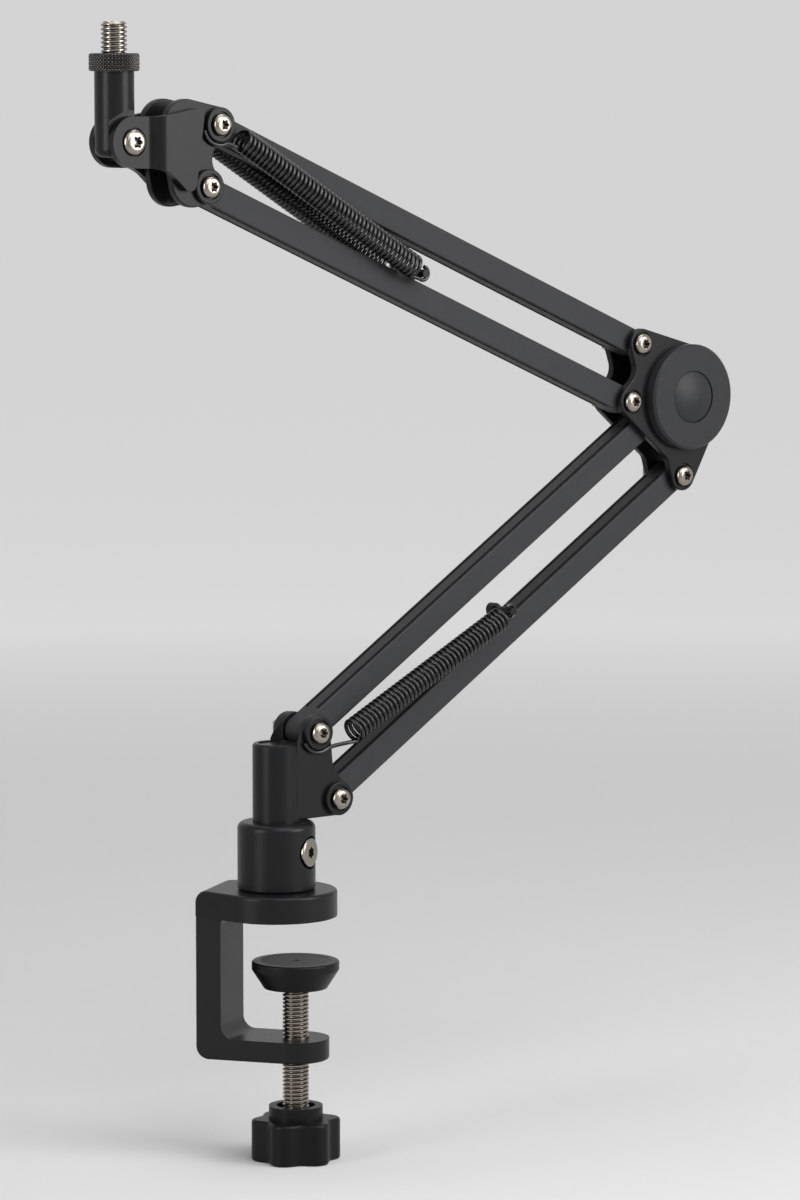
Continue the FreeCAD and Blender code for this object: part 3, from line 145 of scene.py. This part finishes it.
class BoomFinishColours(bpy.types.PropertyGroup):
    """Colours of the finishes."""
    steel: colour("Powder-coated steel", "#141516", "Satin powder coat on clamp, post and plates")
    bars: colour("Powder-coated bars", "#303132", "Fine-textured powder coat on the four bars")
    nickel: colour("Nickel plate", "#968f86", "Pivot screws, clamp screw and stud")
    wire: colour("Spring wire", "#0d0d0e", "Oil-blackened spring wire")
    ring: colour("Black oxide", "#6c6966", "Knurled lock ring")
    # Covers paler and knob darker: partly painted light, for brighter light on the arm's top than round the clamp.
    plastic: colour("Moulded plastic", "#2b2c2d", "Elbow covers and their caps")
    knob: colour("Moulded knob", "#0f0f10", "Knob and clamp pad")
    nylon: colour("Nylon", "#3f3f40", "Bushes and washers")
    rubber: colour("Rubber", "#454545", "Face of the clamp pad")
    floor: colour("Floor", "#e0e0e0", "Studio floor and room")


class BoomStageSettings(bpy.types.PropertyGroup):
    """Where the camera and the lamps stand."""
    lens: FloatProperty(name="Lens", description="Focal length in millimetres", default=154.1)
    distance: length("Distance", 1919.0, "Camera to its target")
    azimuth: FloatProperty(name="Azimuth", description="Camera's turn about the post", subtype="ANGLE",
                           default=math.radians(17.92))
    elevation: FloatProperty(name="Elevation", description="Camera above the horizontal", subtype="ANGLE",
                             default=math.radians(6.09))
    aim_right: length("Aim right", 39.32, "Target to the right of the clamp screw")
    aim_up: length("Aim up", 119.4, "Target above the desk face")
    key_power: power("Key", 2.7, "High soft box in front")
    top_power: power("Top", 1.8, "Soft box overhead")
    right_power: power("Right", 5.4, "Soft box at the right")
    left_power: power("Left", 3.6, "Soft box at the left")
    pale: FloatProperty(name="Pale room", description="Brightness of the room as the camera sees it",
                        default=0.88)
    ambient: FloatProperty(name="Ambient", description="Strength of the room's light", default=0.06)


# Meshes. Corners closer than WELD are one.
WELD = 0.002 * MM


def make_piece(name, corners, faces, sharp_angle=40.0, crest=None):
    """Put an array of corners and a list of faces into a mesh object, doubles merged and creases kept.

    An array of crest shares, one for each corner, becomes the mesh's own attribute of that name.
    """
    mesh = bpy.data.meshes.new(name)
    mesh.from_pydata(corners.reshape(-1, 3), [], faces)
    if crest is not None:
        mesh.attributes.new("crest", "FLOAT", "POINT").data.foreach_set("value", crest.ravel())
    work = bmesh.new()
    work.from_mesh(mesh)
    bmesh.ops.remove_doubles(work, verts=work.verts, dist=WELD)
    work.to_mesh(mesh)
    work.free()
    mesh.polygons.foreach_set("use_smooth", np.ones(len(mesh.polygons), dtype=bool))
    mesh.set_sharp_from_angle(angle=math.radians(sharp_angle))
    piece = bpy.data.objects.new(name, mesh)
    bpy.context.scene.collection.objects.link(piece)
    return piece


def grid_faces(rows, columns):
    """Join a grid of rows and columns by quads, closed round the columns.

    The faces point outwards where the columns run anticlockwise.
    """
    row, column = np.meshgrid(np.arange(rows - 1), np.arange(columns), indexing="ij")
    beside = (column + 1) % columns
    here, above = row * columns, (row + 1) * columns
    quads = np.stack([here + column, here + beside, above + beside, above + column], axis=-1)
    return quads.reshape(-1, 4).tolist()


def around_axis(middle, radius, angle, height):
    """Place a grid round an upright axis: middle + radius * (cos a, sin a), at a height."""
    across = middle[0] + radius * np.cos(angle)
    away = middle[1] + radius * np.sin(angle)
    return np.stack(np.broadcast_arrays(across, away, height), axis=-1)


def tube(points, sideways, radius, sides=12):
    """Carry a circle along a path: point + radius * (cos a * normal + sin a * binormal).

    The normal is the sideways guess made square to the path, and the binormal is the heading crossed with it.
    """
    heading = np.gradient(points, axis=0)
    heading /= np.linalg.norm(heading, axis=1, keepdims=True)
    normal = sideways - heading * np.sum(sideways * heading, axis=1, keepdims=True)
    normal /= np.linalg.norm(normal, axis=1, keepdims=True)
    binormal = np.cross(heading, normal)
    angle = np.linspace(0, 2 * math.pi, sides, endpoint=False)[None, :, None]
    spokes = np.cos(angle) * normal[:, None] + np.sin(angle) * binormal[:, None]
    corners = points[:, None] + radius * spokes
    last = (len(points) - 1) * sides
    caps = [list(range(sides - 1, -1, -1)), list(range(last, last + sides))]
    return corners, grid_faces(len(points), sides) + caps


def hermite(start, heading, end, leaving, count):
    """Join two ends by a cubic whose end tangents are the headings times the span."""
    share = np.linspace(0, 1, count)[1:-1, None]
    span = np.linalg.norm(end - start)
    rising = share * share * (3 - 2 * share)
    return (start * (1 - rising) + end * rising + heading * span * share * (1 - share) ** 2
            - leaving * span * share * share * (1 - share))


# Points along the hook and its lead, along a turn of the coil or the loop, and along the tail, and the loop's
# last angle.
HOOK_STEPS = 24
TURN_STEPS = 28
TAIL_STEPS = 20
LOOP_END = 0.6 * math.pi


def spring_path(sizes, turns, hook_at, first_at, pin_at, side):
    """Follow the wire from its hook round a washer, through the coil, to its loop round the anchor pin.

    Hook: an arc of hook radius about the washer. Coil: first + axis * pitch * t + radius * (cos 2 pi t * up +
    sin 2 pi t * out). Loop: an arc of loop radius about the pin. Cubics join them.
    """
    out = FRONT * side
    axis = unit(pin_at - first_at)
    up = ALONG * -(axis @ UP) + UP * (axis @ ALONG)
    towards = first_at - hook_at
    reach = np.linalg.norm(towards)
    touch = math.atan2(towards @ UP, towards @ ALONG) - math.acos(sizes.hook / reach)
    turn = np.linspace(touch - math.pi / 2, touch, HOOK_STEPS)[:, None]
    hook_spoke = np.cos(turn) * ALONG + np.sin(turn) * UP
    hook = hook_at + out * sizes.hook_offset + hook_spoke * sizes.hook
    pitch = (np.linalg.norm(pin_at - first_at) - sizes.tail) / turns
    turn = np.linspace(math.pi, math.pi * (2 * turns + 1), TURN_STEPS * turns + 1)[:, None]
    coil_spoke = up * np.cos(turn) + out * np.sin(turn)
    middle = first_at + out * sizes.offset + axis * pitch * (turn - math.pi) / (2 * math.pi)
    coil = middle + coil_spoke * sizes.coil
    coil_heading = unit(axis * pitch - out * 2 * math.pi * sizes.coil)
    turn = np.linspace(-math.pi / 2, LOOP_END, TURN_STEPS)[:, None]
    loop_spoke = axis * np.cos(turn) + up * np.sin(turn)
    loop = pin_at + out * sizes.offset + loop_spoke * sizes.loop
    hook_heading = np.cross(np.cross(ALONG, UP), hook_spoke[-1])
    first = hermite(hook[-1], hook_heading, coil[0], coil_heading, HOOK_STEPS)
    second = hermite(coil[-1], coil_heading, loop[0], axis, TAIL_STEPS)
    fade = np.linspace(0, 1, len(first))[:, None]
    first_spoke = hook_spoke[-1] * (1 - fade) - up * fade
    second_spoke = np.tile(-up, (len(second), 1))
    points = np.concatenate([hook, first, coil, second, loop])
    return points, np.concatenate([hook_spoke, first_spoke, coil_spoke, second_spoke, loop_spoke])


# The thread form: its depth and the shares of its crest and of its two flanks, all of one pitch.
THREAD_DEPTH = 0.55
CREST_SHARE = 0.33
FLANK_SHARE = 0.47


def thread(middle, low, high, outer, pitch, lead, neck=0.0, neck_top=-math.inf, columns=72, rows=14):
    """Cut a screw thread: height = low + pitch * (v + angle / 2 pi), so rows of the grid run along the helix.

    The radius is outer less the thread's depth times the form of v: crest flat over a third, root flat over a
    fifth, and flanks between that ease in and out. Each end has a chamfer. Below the neck's top, the radius is
    the neck's.
    """
    turns = math.ceil((high - low) / pitch) + 1
    share = np.arange(-rows, turns * rows + 1)[:, None] / rows
    angle = np.linspace(0, 2 * math.pi, columns, endpoint=False)[None, :]
    height = np.clip(low + pitch * (share + angle / (2 * math.pi)), low, high)
    form = np.clip((np.abs((share % 1) - 0.5) * 2 - CREST_SHARE) / FLANK_SHARE, 0, 1)
    radius = outer - THREAD_DEPTH * pitch * form * form * (3 - 2 * form)
    radius = np.where(height < neck_top, neck, radius)
    radius = np.minimum(radius, outer - lead + np.minimum(height - low, high - height))
    corners = around_axis(middle, radius, angle, height)
    count = corners.shape[0]
    row, column = np.meshgrid(np.arange(count - 1), np.arange(columns), indexing="ij")
    wraps = column == columns - 1
    beside = np.where(wraps, 0, column + 1)
    lower = np.minimum(row + np.where(wraps, rows, 0), count - 1)
    upper = np.minimum(row + 1 + np.where(wraps, rows, 0), count - 1)
    quads = np.stack([row * columns + column, lower * columns + beside, upper * columns + beside,
                      (row + 1) * columns + column], axis=-1)
    faces = quads[lower < upper].tolist()
    first = list(range(columns - 1, -1, -1))
    last = list(range((count - 1) * columns, count * columns))
    return corners, faces + [first, last]


def knurled_ring(middle, low, high, outer, bore, chamfer, count, depth, steps=6, rows=64):
    """Knurl a ring: the radius falls by depth times the larger of two triangle waves that cross as diamonds.

    The waves are of angle * count / 2 pi plus and minus height / diamond. Chamfers bound the radius at both
    rims, and flat faces and the bore close the ring. The crest share is 1 less the wave, and 1 off the knurl.
    """
    columns = count * steps
    diamond = 2 * math.pi * outer / count
    angle = np.linspace(0, 2 * math.pi, columns, endpoint=False)[None, :]
    height = np.linspace(low, high, rows)[:, None]
    around = angle * count / (2 * math.pi)
    climb = (height - low) / diamond
    right_hand = np.abs(((around + climb) % 1) * 2 - 1)
    left_hand = np.abs(((around - climb) % 1) * 2 - 1)
    wave = np.maximum(right_hand, left_hand)
    radius = np.minimum(outer - depth * wave, outer - chamfer + np.minimum(height - low, high - height))
    inner = np.full((1, columns), bore)
    radius = np.concatenate([inner, radius, inner, inner])
    height = np.concatenate([[[low]], height, [[high]], [[low]]])
    corners = around_axis(middle, radius, angle, height)
    plain = np.ones((1, columns))
    return corners, grid_faces(len(height), columns), np.concatenate([plain, 1 - wave, plain, plain])


# Materials
def add_node(tree, kind, inputs, **settings):
    """Add a node with its settings, and set or link each of the inputs that are given."""
    made = tree.nodes.new(kind)
    for name, value in settings.items():
        setattr(made, name, value)
    for name, value in inputs.items():
        if isinstance(value, bpy.types.NodeSocket):
            tree.links.new(value, made.inputs[name])
        else:
            made.inputs[name].default_value = value
    return made


# Clouds of faint colour, in millimetres. Painted shade in a recess or a knurl's groove keeps this share of the
# colour.
CLOUD_MM = 9.0
PAINTED_SHADE_SHARE = 0.06
# How open a recess and a knurl's groove are where their painted shade is full and where there is none.
RECESS_OPEN = (0.3, 0.7)
KNURL_OPEN = (0.15, 0.75)


def finish(name, tone, roughness, grain_mm, relief_mm, mottle=0.1, spread=0.08, gloss=0.5, recess_mm=0.0,
           knurled=False, **shader):
    """Make a finish: a grain of one real size gives its bump and varies its roughness, and clouds vary its tone.

    Recesses narrower than recess_mm, such as sockets and thread roots, are darkened by ambient occlusion as
    painted shade. So are the grooves of a knurl, which its mesh's crest attribute tells from its crests.
    """
    material = bpy.data.materials.new(name)
    material.use_nodes = True
    tree = material.node_tree
    tree.nodes.clear()
    place = add_node(tree, "ShaderNodeTexCoord", {}).outputs["Object"]
    in_mm = add_node(tree, "ShaderNodeMapping", {"Vector": place, "Scale": [1 / MM] * 3}).outputs["Vector"]
    grain = add_node(tree, "ShaderNodeTexNoise", {"Vector": in_mm, "Scale": 1 / grain_mm, "Detail": 2.0})
    grain = grain.outputs["Fac"]
    cloud = add_node(tree, "ShaderNodeTexNoise", {"Vector": in_mm, "Scale": 1 / CLOUD_MM, "Detail": 3.0})
    dark = tuple(part * (1 - mottle) for part in tone) + (1,)
    pale = tuple(min(1.0, part * (1 + mottle)) for part in tone) + (1,)
    mixed = {0: cloud.outputs["Fac"], 6: dark, 7: pale}
    shade = add_node(tree, "ShaderNodeMix", mixed, data_type="RGBA").outputs[2]
    # Painted shade: the knurl's grooves by its crest attribute, or recesses by ambient occlusion, darken the tone.
    if knurled:
        open_share = add_node(tree, "ShaderNodeAttribute", {}, attribute_name="crest").outputs["Fac"]
    elif recess_mm:
        open_share = add_node(tree, "ShaderNodeAmbientOcclusion", {"Distance": recess_mm * MM}, samples=16,
                              only_local=True).outputs["AO"]
    if knurled or recess_mm:
        full, clear = KNURL_OPEN if knurled else RECESS_OPEN
        unshaded_share = add_node(tree, "ShaderNodeMapRange", {"Value": open_share, "From Min": full,
                                                      "From Max": clear}).outputs["Result"]
        # Painted shade: the darkest tone that a recess or groove takes.
        painted_shade = tuple(part * PAINTED_SHADE_SHARE for part in tone) + (1,)
        mixed = {0: unshaded_share, 6: painted_shade, 7: shade}
        shade = add_node(tree, "ShaderNodeMix", mixed, data_type="RGBA").outputs[2]
    polish = add_node(tree, "ShaderNodeMapRange", {"Value": grain, "To Min": roughness - spread,
                                                   "To Max": roughness + spread}).outputs["Result"]
    bump = add_node(tree, "ShaderNodeBump", {"Height": grain, "Distance": relief_mm * MM,
                                             "Strength": 1.0}).outputs["Normal"]
    surface = add_node(tree, "ShaderNodeBsdfPrincipled", {
        "Base Color": shade, "Roughness": polish, "Normal": bump, "Specular IOR Level": gloss,
        **shader}).outputs["BSDF"]
    add_node(tree, "ShaderNodeOutputMaterial", {"Surface": surface})
    return material


def make_finishes(tones):
    """Return each material slot's finish."""
    return {
        # Powder coat, satin: sprayed and baked, with a fine orange peel that softens the lamps' reflections.
        "coated_steel": finish("satin_powder_coat", tones.steel, roughness=0.32, grain_mm=0.5,
                               relief_mm=0.012, gloss=0.2),
        # Powder coat, fine texture: a matt grain of about half a millimetre, drawn as coarse as shows.
        "coated_aluminium": finish("fine_textured_powder_coat", tones.bars, roughness=0.5, grain_mm=0.6,
                                   relief_mm=0.03, gloss=0.2),
        # Black oxide on turned steel: dark, with a dull metallic edge on each knurl and painted shade in its
        # grooves.
        "knurled_ring": finish("black_oxide_steel", tones.ring, roughness=0.3, grain_mm=0.4, relief_mm=0.002,
                               knurled=True, Metallic=0.8),
        # Oil-blackened spring wire: smooth and glossy, with small white glints on each turn.
        "spring_wire": finish("oil_blackened_wire", tones.wire, roughness=0.2, grain_mm=0.3, relief_mm=0.002,
                              spread=0.04),
        # Bright nickel over turned steel: warm grey mirror, with painted shade in the screws' sockets and thread
        # roots.
        "bright_steel": finish("nickel_plated_steel", tones.nickel, roughness=0.2, grain_mm=0.25,
                               relief_mm=0.001, spread=0.03, recess_mm=1.6, Metallic=1.0),
        # Moulded ABS, spark-eroded tool: a very fine satin grain. Its paler tone is partly painted light,
        # for the brighter light on the arm's top.
        "moulded_plastic": finish("moulded_abs", tones.plastic, roughness=0.42, grain_mm=0.45,
                                  relief_mm=0.012, gloss=0.2),
        # Moulded polypropylene: blacker than the covers, partly its own colour and partly painted shade for the
        # dimmer light round the clamp, with a soft shine on its lobes.
        "knob": finish("moulded_polypropylene", tones.knob, roughness=0.36, grain_mm=0.5, relief_mm=0.012,
                       gloss=0.16),
        # Moulded nylon: dark, slightly waxy.
        "nylon": finish("moulded_nylon", tones.nylon, roughness=0.5, grain_mm=0.5, relief_mm=0.006,
                        gloss=0.3),
        # Moulded rubber: matt and dark.
        "rubber": finish("moulded_rubber", tones.rubber, roughness=0.6, grain_mm=0.4, relief_mm=0.02,
                         gloss=0.3),
    }


# Each slot's material name, filled as the finishes are made, and the nodes that take the knob's finish.
FINISH_NAMES = {}
KNOB_NODES = ("clamp_knob", "clamp_pad")


def dress(piece, body, slot, *nodes):
    """Let a piece stand for CAD nodes, move with a body and take a slot's finish."""
    piece.data.materials.append(bpy.data.materials[FINISH_NAMES[slot]])
    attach(piece, body)
    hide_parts(*nodes)


def round_size(node):
    """Return an upright round node's middle, its lowest and highest point, and its radius."""
    low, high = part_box(node)
    return (vector(low) + vector(high)) / 2, low.z, high.z, (high.x - low.x) / 2


def pin_at(node, pivot):
    """Find where a pin across the arm crosses the arm plane."""
    low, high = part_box(node)
    middle = (vector(low) + vector(high)) / 2
    return middle - FRONT * ((middle - pivot) @ FRONT)


class BOOM_OT_finishes(bpy.types.Operator):
    """Make the finishes and put each on its CAD nodes"""
    bl_idname = "boom_arm.finishes"
    bl_label = "Finishes"

    def execute(self, context):
        made = make_finishes(context.scene.boom_finish)
        for slot, material in made.items():
            FINISH_NAMES[slot] = material.name
        for name, node in NODES.items():
            node.data.materials.clear()
            node.data.materials.append(made["knob" if name in KNOB_NODES else SLOTS[name]])
        return {"FINISHED"}


class BOOM_OT_springs(bpy.types.Operator):
    """Wind the three tension springs, hooked round their washers and pins"""
    bl_idname = "boom_arm.springs"
    bl_label = "Springs"

    def execute(self, context):
        sizes = context.scene.boom_spring
        base = vector(JOINTS["lower_link"]["pos_m"])
        link = vector(JOINTS["upper_link"]["pos_m"]) - vector(JOINTS["upper_arm_pitch"]["pos_m"])
        head = vector(JOINTS["head_level"]["pos_m"]) + link
        lower_first = base + ALONG * sizes.lower_lead - UP * sizes.lower_drop
        upper_first = head + ALONG * sizes.upper_lead - UP * sizes.upper_drop
        lower_pin = pin_at("lower_spring_pin", base)
        upper_pin = pin_at("upper_spring_pin", head)
        lower = (sizes.lower_turns, base, lower_first, lower_pin)
        upper = (sizes.upper_turns, head, upper_first, upper_pin)
        for name, (turns, hook_at, first_at, end_at), side, body, arm in (
                ("lower_spring", lower, 1, "post_body", "lower_arm_body"),
                ("upper_front_spring", upper, 1, "head_body", "upper_arm_body"),
                ("upper_rear_spring", upper, -1, "head_body", "upper_arm_body")):
            path, sideways = spring_path(sizes, turns, hook_at, first_at, end_at, side)
            piece = make_piece("wound_" + name, *tube(path, sideways, sizes.wire))
            piece.data.materials.append(bpy.data.materials[FINISH_NAMES["spring_wire"]])
            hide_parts(name)
            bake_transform(piece)
        return {"FINISHED"}


class BOOM_OT_threads(bpy.types.Operator):
    """Cut the threads of the microphone stud and the clamp screw"""
    bl_idname = "boom_arm.threads"
    bl_label = "Threads"

    def execute(self, context):
        sizes = context.scene.boom_thread
        ring_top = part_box("lock_ring")[1].z
        stud = make_piece("threaded_stud", *thread(
            *round_size("mic_stud"), sizes.stud_pitch, sizes.lead, sizes.stud_neck, ring_top))
        dress(stud, "stem_body", "bright_steel", "mic_stud")
        screw = make_piece("threaded_clamp_screw", *thread(
            *round_size("clamp_screw"), sizes.screw_pitch, sizes.lead))
        dress(screw, "screw_body", "bright_steel", "clamp_screw")
        return {"FINISHED"}


class BOOM_OT_lock_ring(bpy.types.Operator):
    """Knurl the lock ring under the microphone stud"""
    bl_idname = "boom_arm.lock_ring"
    bl_label = "Lock ring"

    def execute(self, context):
        sizes = context.scene.boom_thread
        middle, low, high, radius = round_size("lock_ring")
        corners, faces, crest = knurled_ring(middle, low + sizes.ring_seat, high, radius, sizes.ring_bore,
                                             sizes.ring_chamfer, sizes.knurl_count, sizes.knurl_depth)
        ring = make_piece("knurled_lock_ring", corners, faces, sharp_angle=25.0, crest=crest)
        dress(ring, "ring_body", "knurled_ring", "lock_ring")
        return {"FINISHED"}


# Stage
def seen_share(tree):
    """Return 1 for a ray of the camera, a mirror or glass, and 0 for a ray that lights."""
    path = add_node(tree, "ShaderNodeLightPath", {}).outputs
    seen = path["Is Camera Ray"]
    for kind in ("Is Glossy Ray", "Is Transmission Ray"):
        seen = add_node(tree, "ShaderNodeMath", {0: seen, 1: path[kind]}, operation="MAXIMUM").outputs[0]
    return seen


# Where the floor's glow starts to grow and where it is full, in metres, and its share before it grows.
GLOW_NEAR = 0.2
GLOW_FAR = 1.8
GLOW_LEAST = 1 / 6


def pale_floor_paper(tone, pale, ambient):
    """Make matt paper that is seen to glow far off, as pale as the room, and lights nothing by that.

    The glow is least round the object, where the lamps light the paper, and full far off, where it makes up
    what the room's ambient light lacks.
    """
    material = finish("studio_paper", tone, roughness=0.9, grain_mm=2.0, relief_mm=0.01, mottle=0.01,
                      gloss=0.0)
    tree = material.node_tree
    place = add_node(tree, "ShaderNodeTexCoord", {}).outputs["Object"]
    away = add_node(tree, "ShaderNodeVectorMath", {0: place}, operation="LENGTH").outputs["Value"]
    grown = add_node(tree, "ShaderNodeMapRange", {
        "Value": away, "From Min": GLOW_NEAR, "From Max": GLOW_FAR, "To Min": pale * GLOW_LEAST,
        "To Max": pale - ambient * tone[1]}).outputs["Result"]
    seen = add_node(tree, "ShaderNodeMath", {0: seen_share(tree), 1: grown}, operation="MULTIPLY").outputs[0]
    glow = add_node(tree, "ShaderNodeEmission", {"Color": (*tone, 1), "Strength": seen}).outputs[0]
    out = next(node for node in tree.nodes if node.bl_idname == "ShaderNodeOutputMaterial")
    lit = out.inputs["Surface"].links[0].from_socket
    both = add_node(tree, "ShaderNodeAddShader", {0: lit, 1: glow}).outputs[0]
    tree.links.new(both, out.inputs["Surface"])
    return material


def round_floor(tone, low, pale, ambient, columns=96):
    """Lay a round sheet of paper: a grid of angles and of radii that double up to 32 m."""
    radius = np.append(0.01, 0.5 * 2.0 ** np.arange(7))[:, None]
    angle = np.linspace(0, 2 * math.pi, columns, endpoint=False)[None, :]
    corners = around_axis((0, 0), radius, angle, low)
    faces = [row[::-1] for row in grid_faces(len(radius), columns)]
    floor = make_piece("studio_floor", corners, faces + [list(range(columns))])
    floor.data.materials.append(pale_floor_paper(tone, pale, ambient))
    return floor


def pale_room(tone, pale, ambient):
    """Make a room that lights by the ambient strength, and that the camera, mirrors and glass see as pale."""
    world = bpy.data.worlds.new("studio_room")
    world.use_nodes = True
    tree = world.node_tree
    tree.nodes.clear()
    strength = add_node(tree, "ShaderNodeMapRange", {"Value": seen_share(tree), "To Min": ambient,
                                                     "To Max": pale}).outputs["Result"]
    room = add_node(tree, "ShaderNodeBackground", {"Color": (*tone, 1), "Strength": strength})
    add_node(tree, "ShaderNodeOutputWorld", {"Surface": room.outputs["Background"]})
    return world


# Each soft box: metres right of the camera's aim, towards the camera and up, then its width and height.
SOFT_BOXES = {
    "key": (0.35, 0.6, 0.75, 0.9, 0.9),
    "top": (0.0, -0.25, 1.3, 1.0, 0.6),
    "right": (1.2, 0.5, 0.4, 0.8, 0.9),
    "left": (-1.1, 0.9, 0.25, 0.5, 1.1),
}
GRID_SPREAD = math.radians(110)
# Just off the vertical, so that a soft box straight overhead still has a right side.
NEARLY_UP = UP + vector((0, 1e-3, 0))
SENSOR_MM = 36.0


def set_up(thing, right, back, at):
    """Stand a camera or lamp at a point, by the directions of its right side and of its back."""
    turned = np.column_stack([right, np.cross(back, right), back, at])
    thing.matrix_world = Matrix(np.vstack([turned, [0, 0, 0, 1]]))
    bpy.context.scene.collection.objects.link(thing)


def soft_box(name, at, aim, width, height, watts):
    """Hang a rectangular lamp with a grid that faces a point."""
    lamp = bpy.data.lights.new(name, "AREA")
    lamp.shape = "RECTANGLE"
    lamp.size = width
    lamp.size_y = height
    lamp.energy = watts
    lamp.spread = GRID_SPREAD
    back = unit(at - aim)
    set_up(bpy.data.objects.new(name, lamp), unit(np.cross(NEARLY_UP, back)), back, at)


class BOOM_OT_stage(bpy.types.Operator):
    """Set the floor, the lamps and the camera"""
    bl_idname = "boom_arm.stage"
    bl_label = "Stage"

    def execute(self, context):
        scene = context.scene
        settings = scene.boom_stage
        tone = tuple(scene.boom_finish.floor)
        round_floor(tone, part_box("clamp_knob")[0].z, settings.pale, settings.ambient)
        turn, rise = settings.azimuth, settings.elevation
        right = vector((math.cos(turn), math.sin(turn), 0))
        toward = vector((math.sin(turn), -math.cos(turn), 0))
        back = toward * math.cos(rise) + UP * math.sin(rise)
        aim = right * settings.aim_right + UP * settings.aim_up
        eye = bpy.data.cameras.new("photograph_view")
        eye.sensor_fit = "VERTICAL"
        eye.sensor_height = SENSOR_MM
        eye.lens = settings.lens
        camera = bpy.data.objects.new("photograph_view", eye)
        set_up(camera, right, back, aim + back * settings.distance)
        scene.camera = camera
        for name, (aside, ahead, above, width, height) in SOFT_BOXES.items():
            at = aim + right * aside + toward * ahead + UP * above
            soft_box(name + "_soft_box", at, aim, width, height, getattr(settings, name + "_power"))
        scene.world = pale_room(tone, settings.pale, settings.ambient)
        scene.view_settings.view_transform = "Standard"
        return {"FINISHED"}


class BOOM_PT_panel(bpy.types.Panel):
    """Lists the boom arm's pieces and its stage"""
    bl_label = "Microphone Boom Arm"
    bl_space_type = "VIEW_3D"
    bl_region_type = "UI"
    bl_category = "Boom Arm"

    def draw(self, context):
        for operator in OPERATORS:
            self.layout.operator(operator.bl_idname)


GROUPS = {"boom_spring": BoomSpringSizes, "boom_thread": BoomThreadSizes, "boom_finish": BoomFinishColours,
          "boom_stage": BoomStageSettings}
OPERATORS = (BOOM_OT_finishes, BOOM_OT_springs, BOOM_OT_threads, BOOM_OT_lock_ring, BOOM_OT_stage)


def register():
    for kind in (*GROUPS.values(), *OPERATORS, BOOM_PT_panel):
        bpy.utils.register_class(kind)
    for name, kind in GROUPS.items():
        setattr(bpy.types.Scene, name, PointerProperty(type=kind))


def unregister():
    for name in GROUPS:
        delattr(bpy.types.Scene, name)
    for kind in (BOOM_PT_panel, *reversed(OPERATORS), *reversed(GROUPS.values())):
        bpy.utils.unregister_class(kind)


def main():
    register()
    bpy.ops.boom_arm.finishes()
    bpy.ops.boom_arm.springs()
    bpy.ops.boom_arm.threads()
    bpy.ops.boom_arm.lock_ring()
    bpy.ops.boom_arm.stage()


if __name__ == "__main__":
    main()
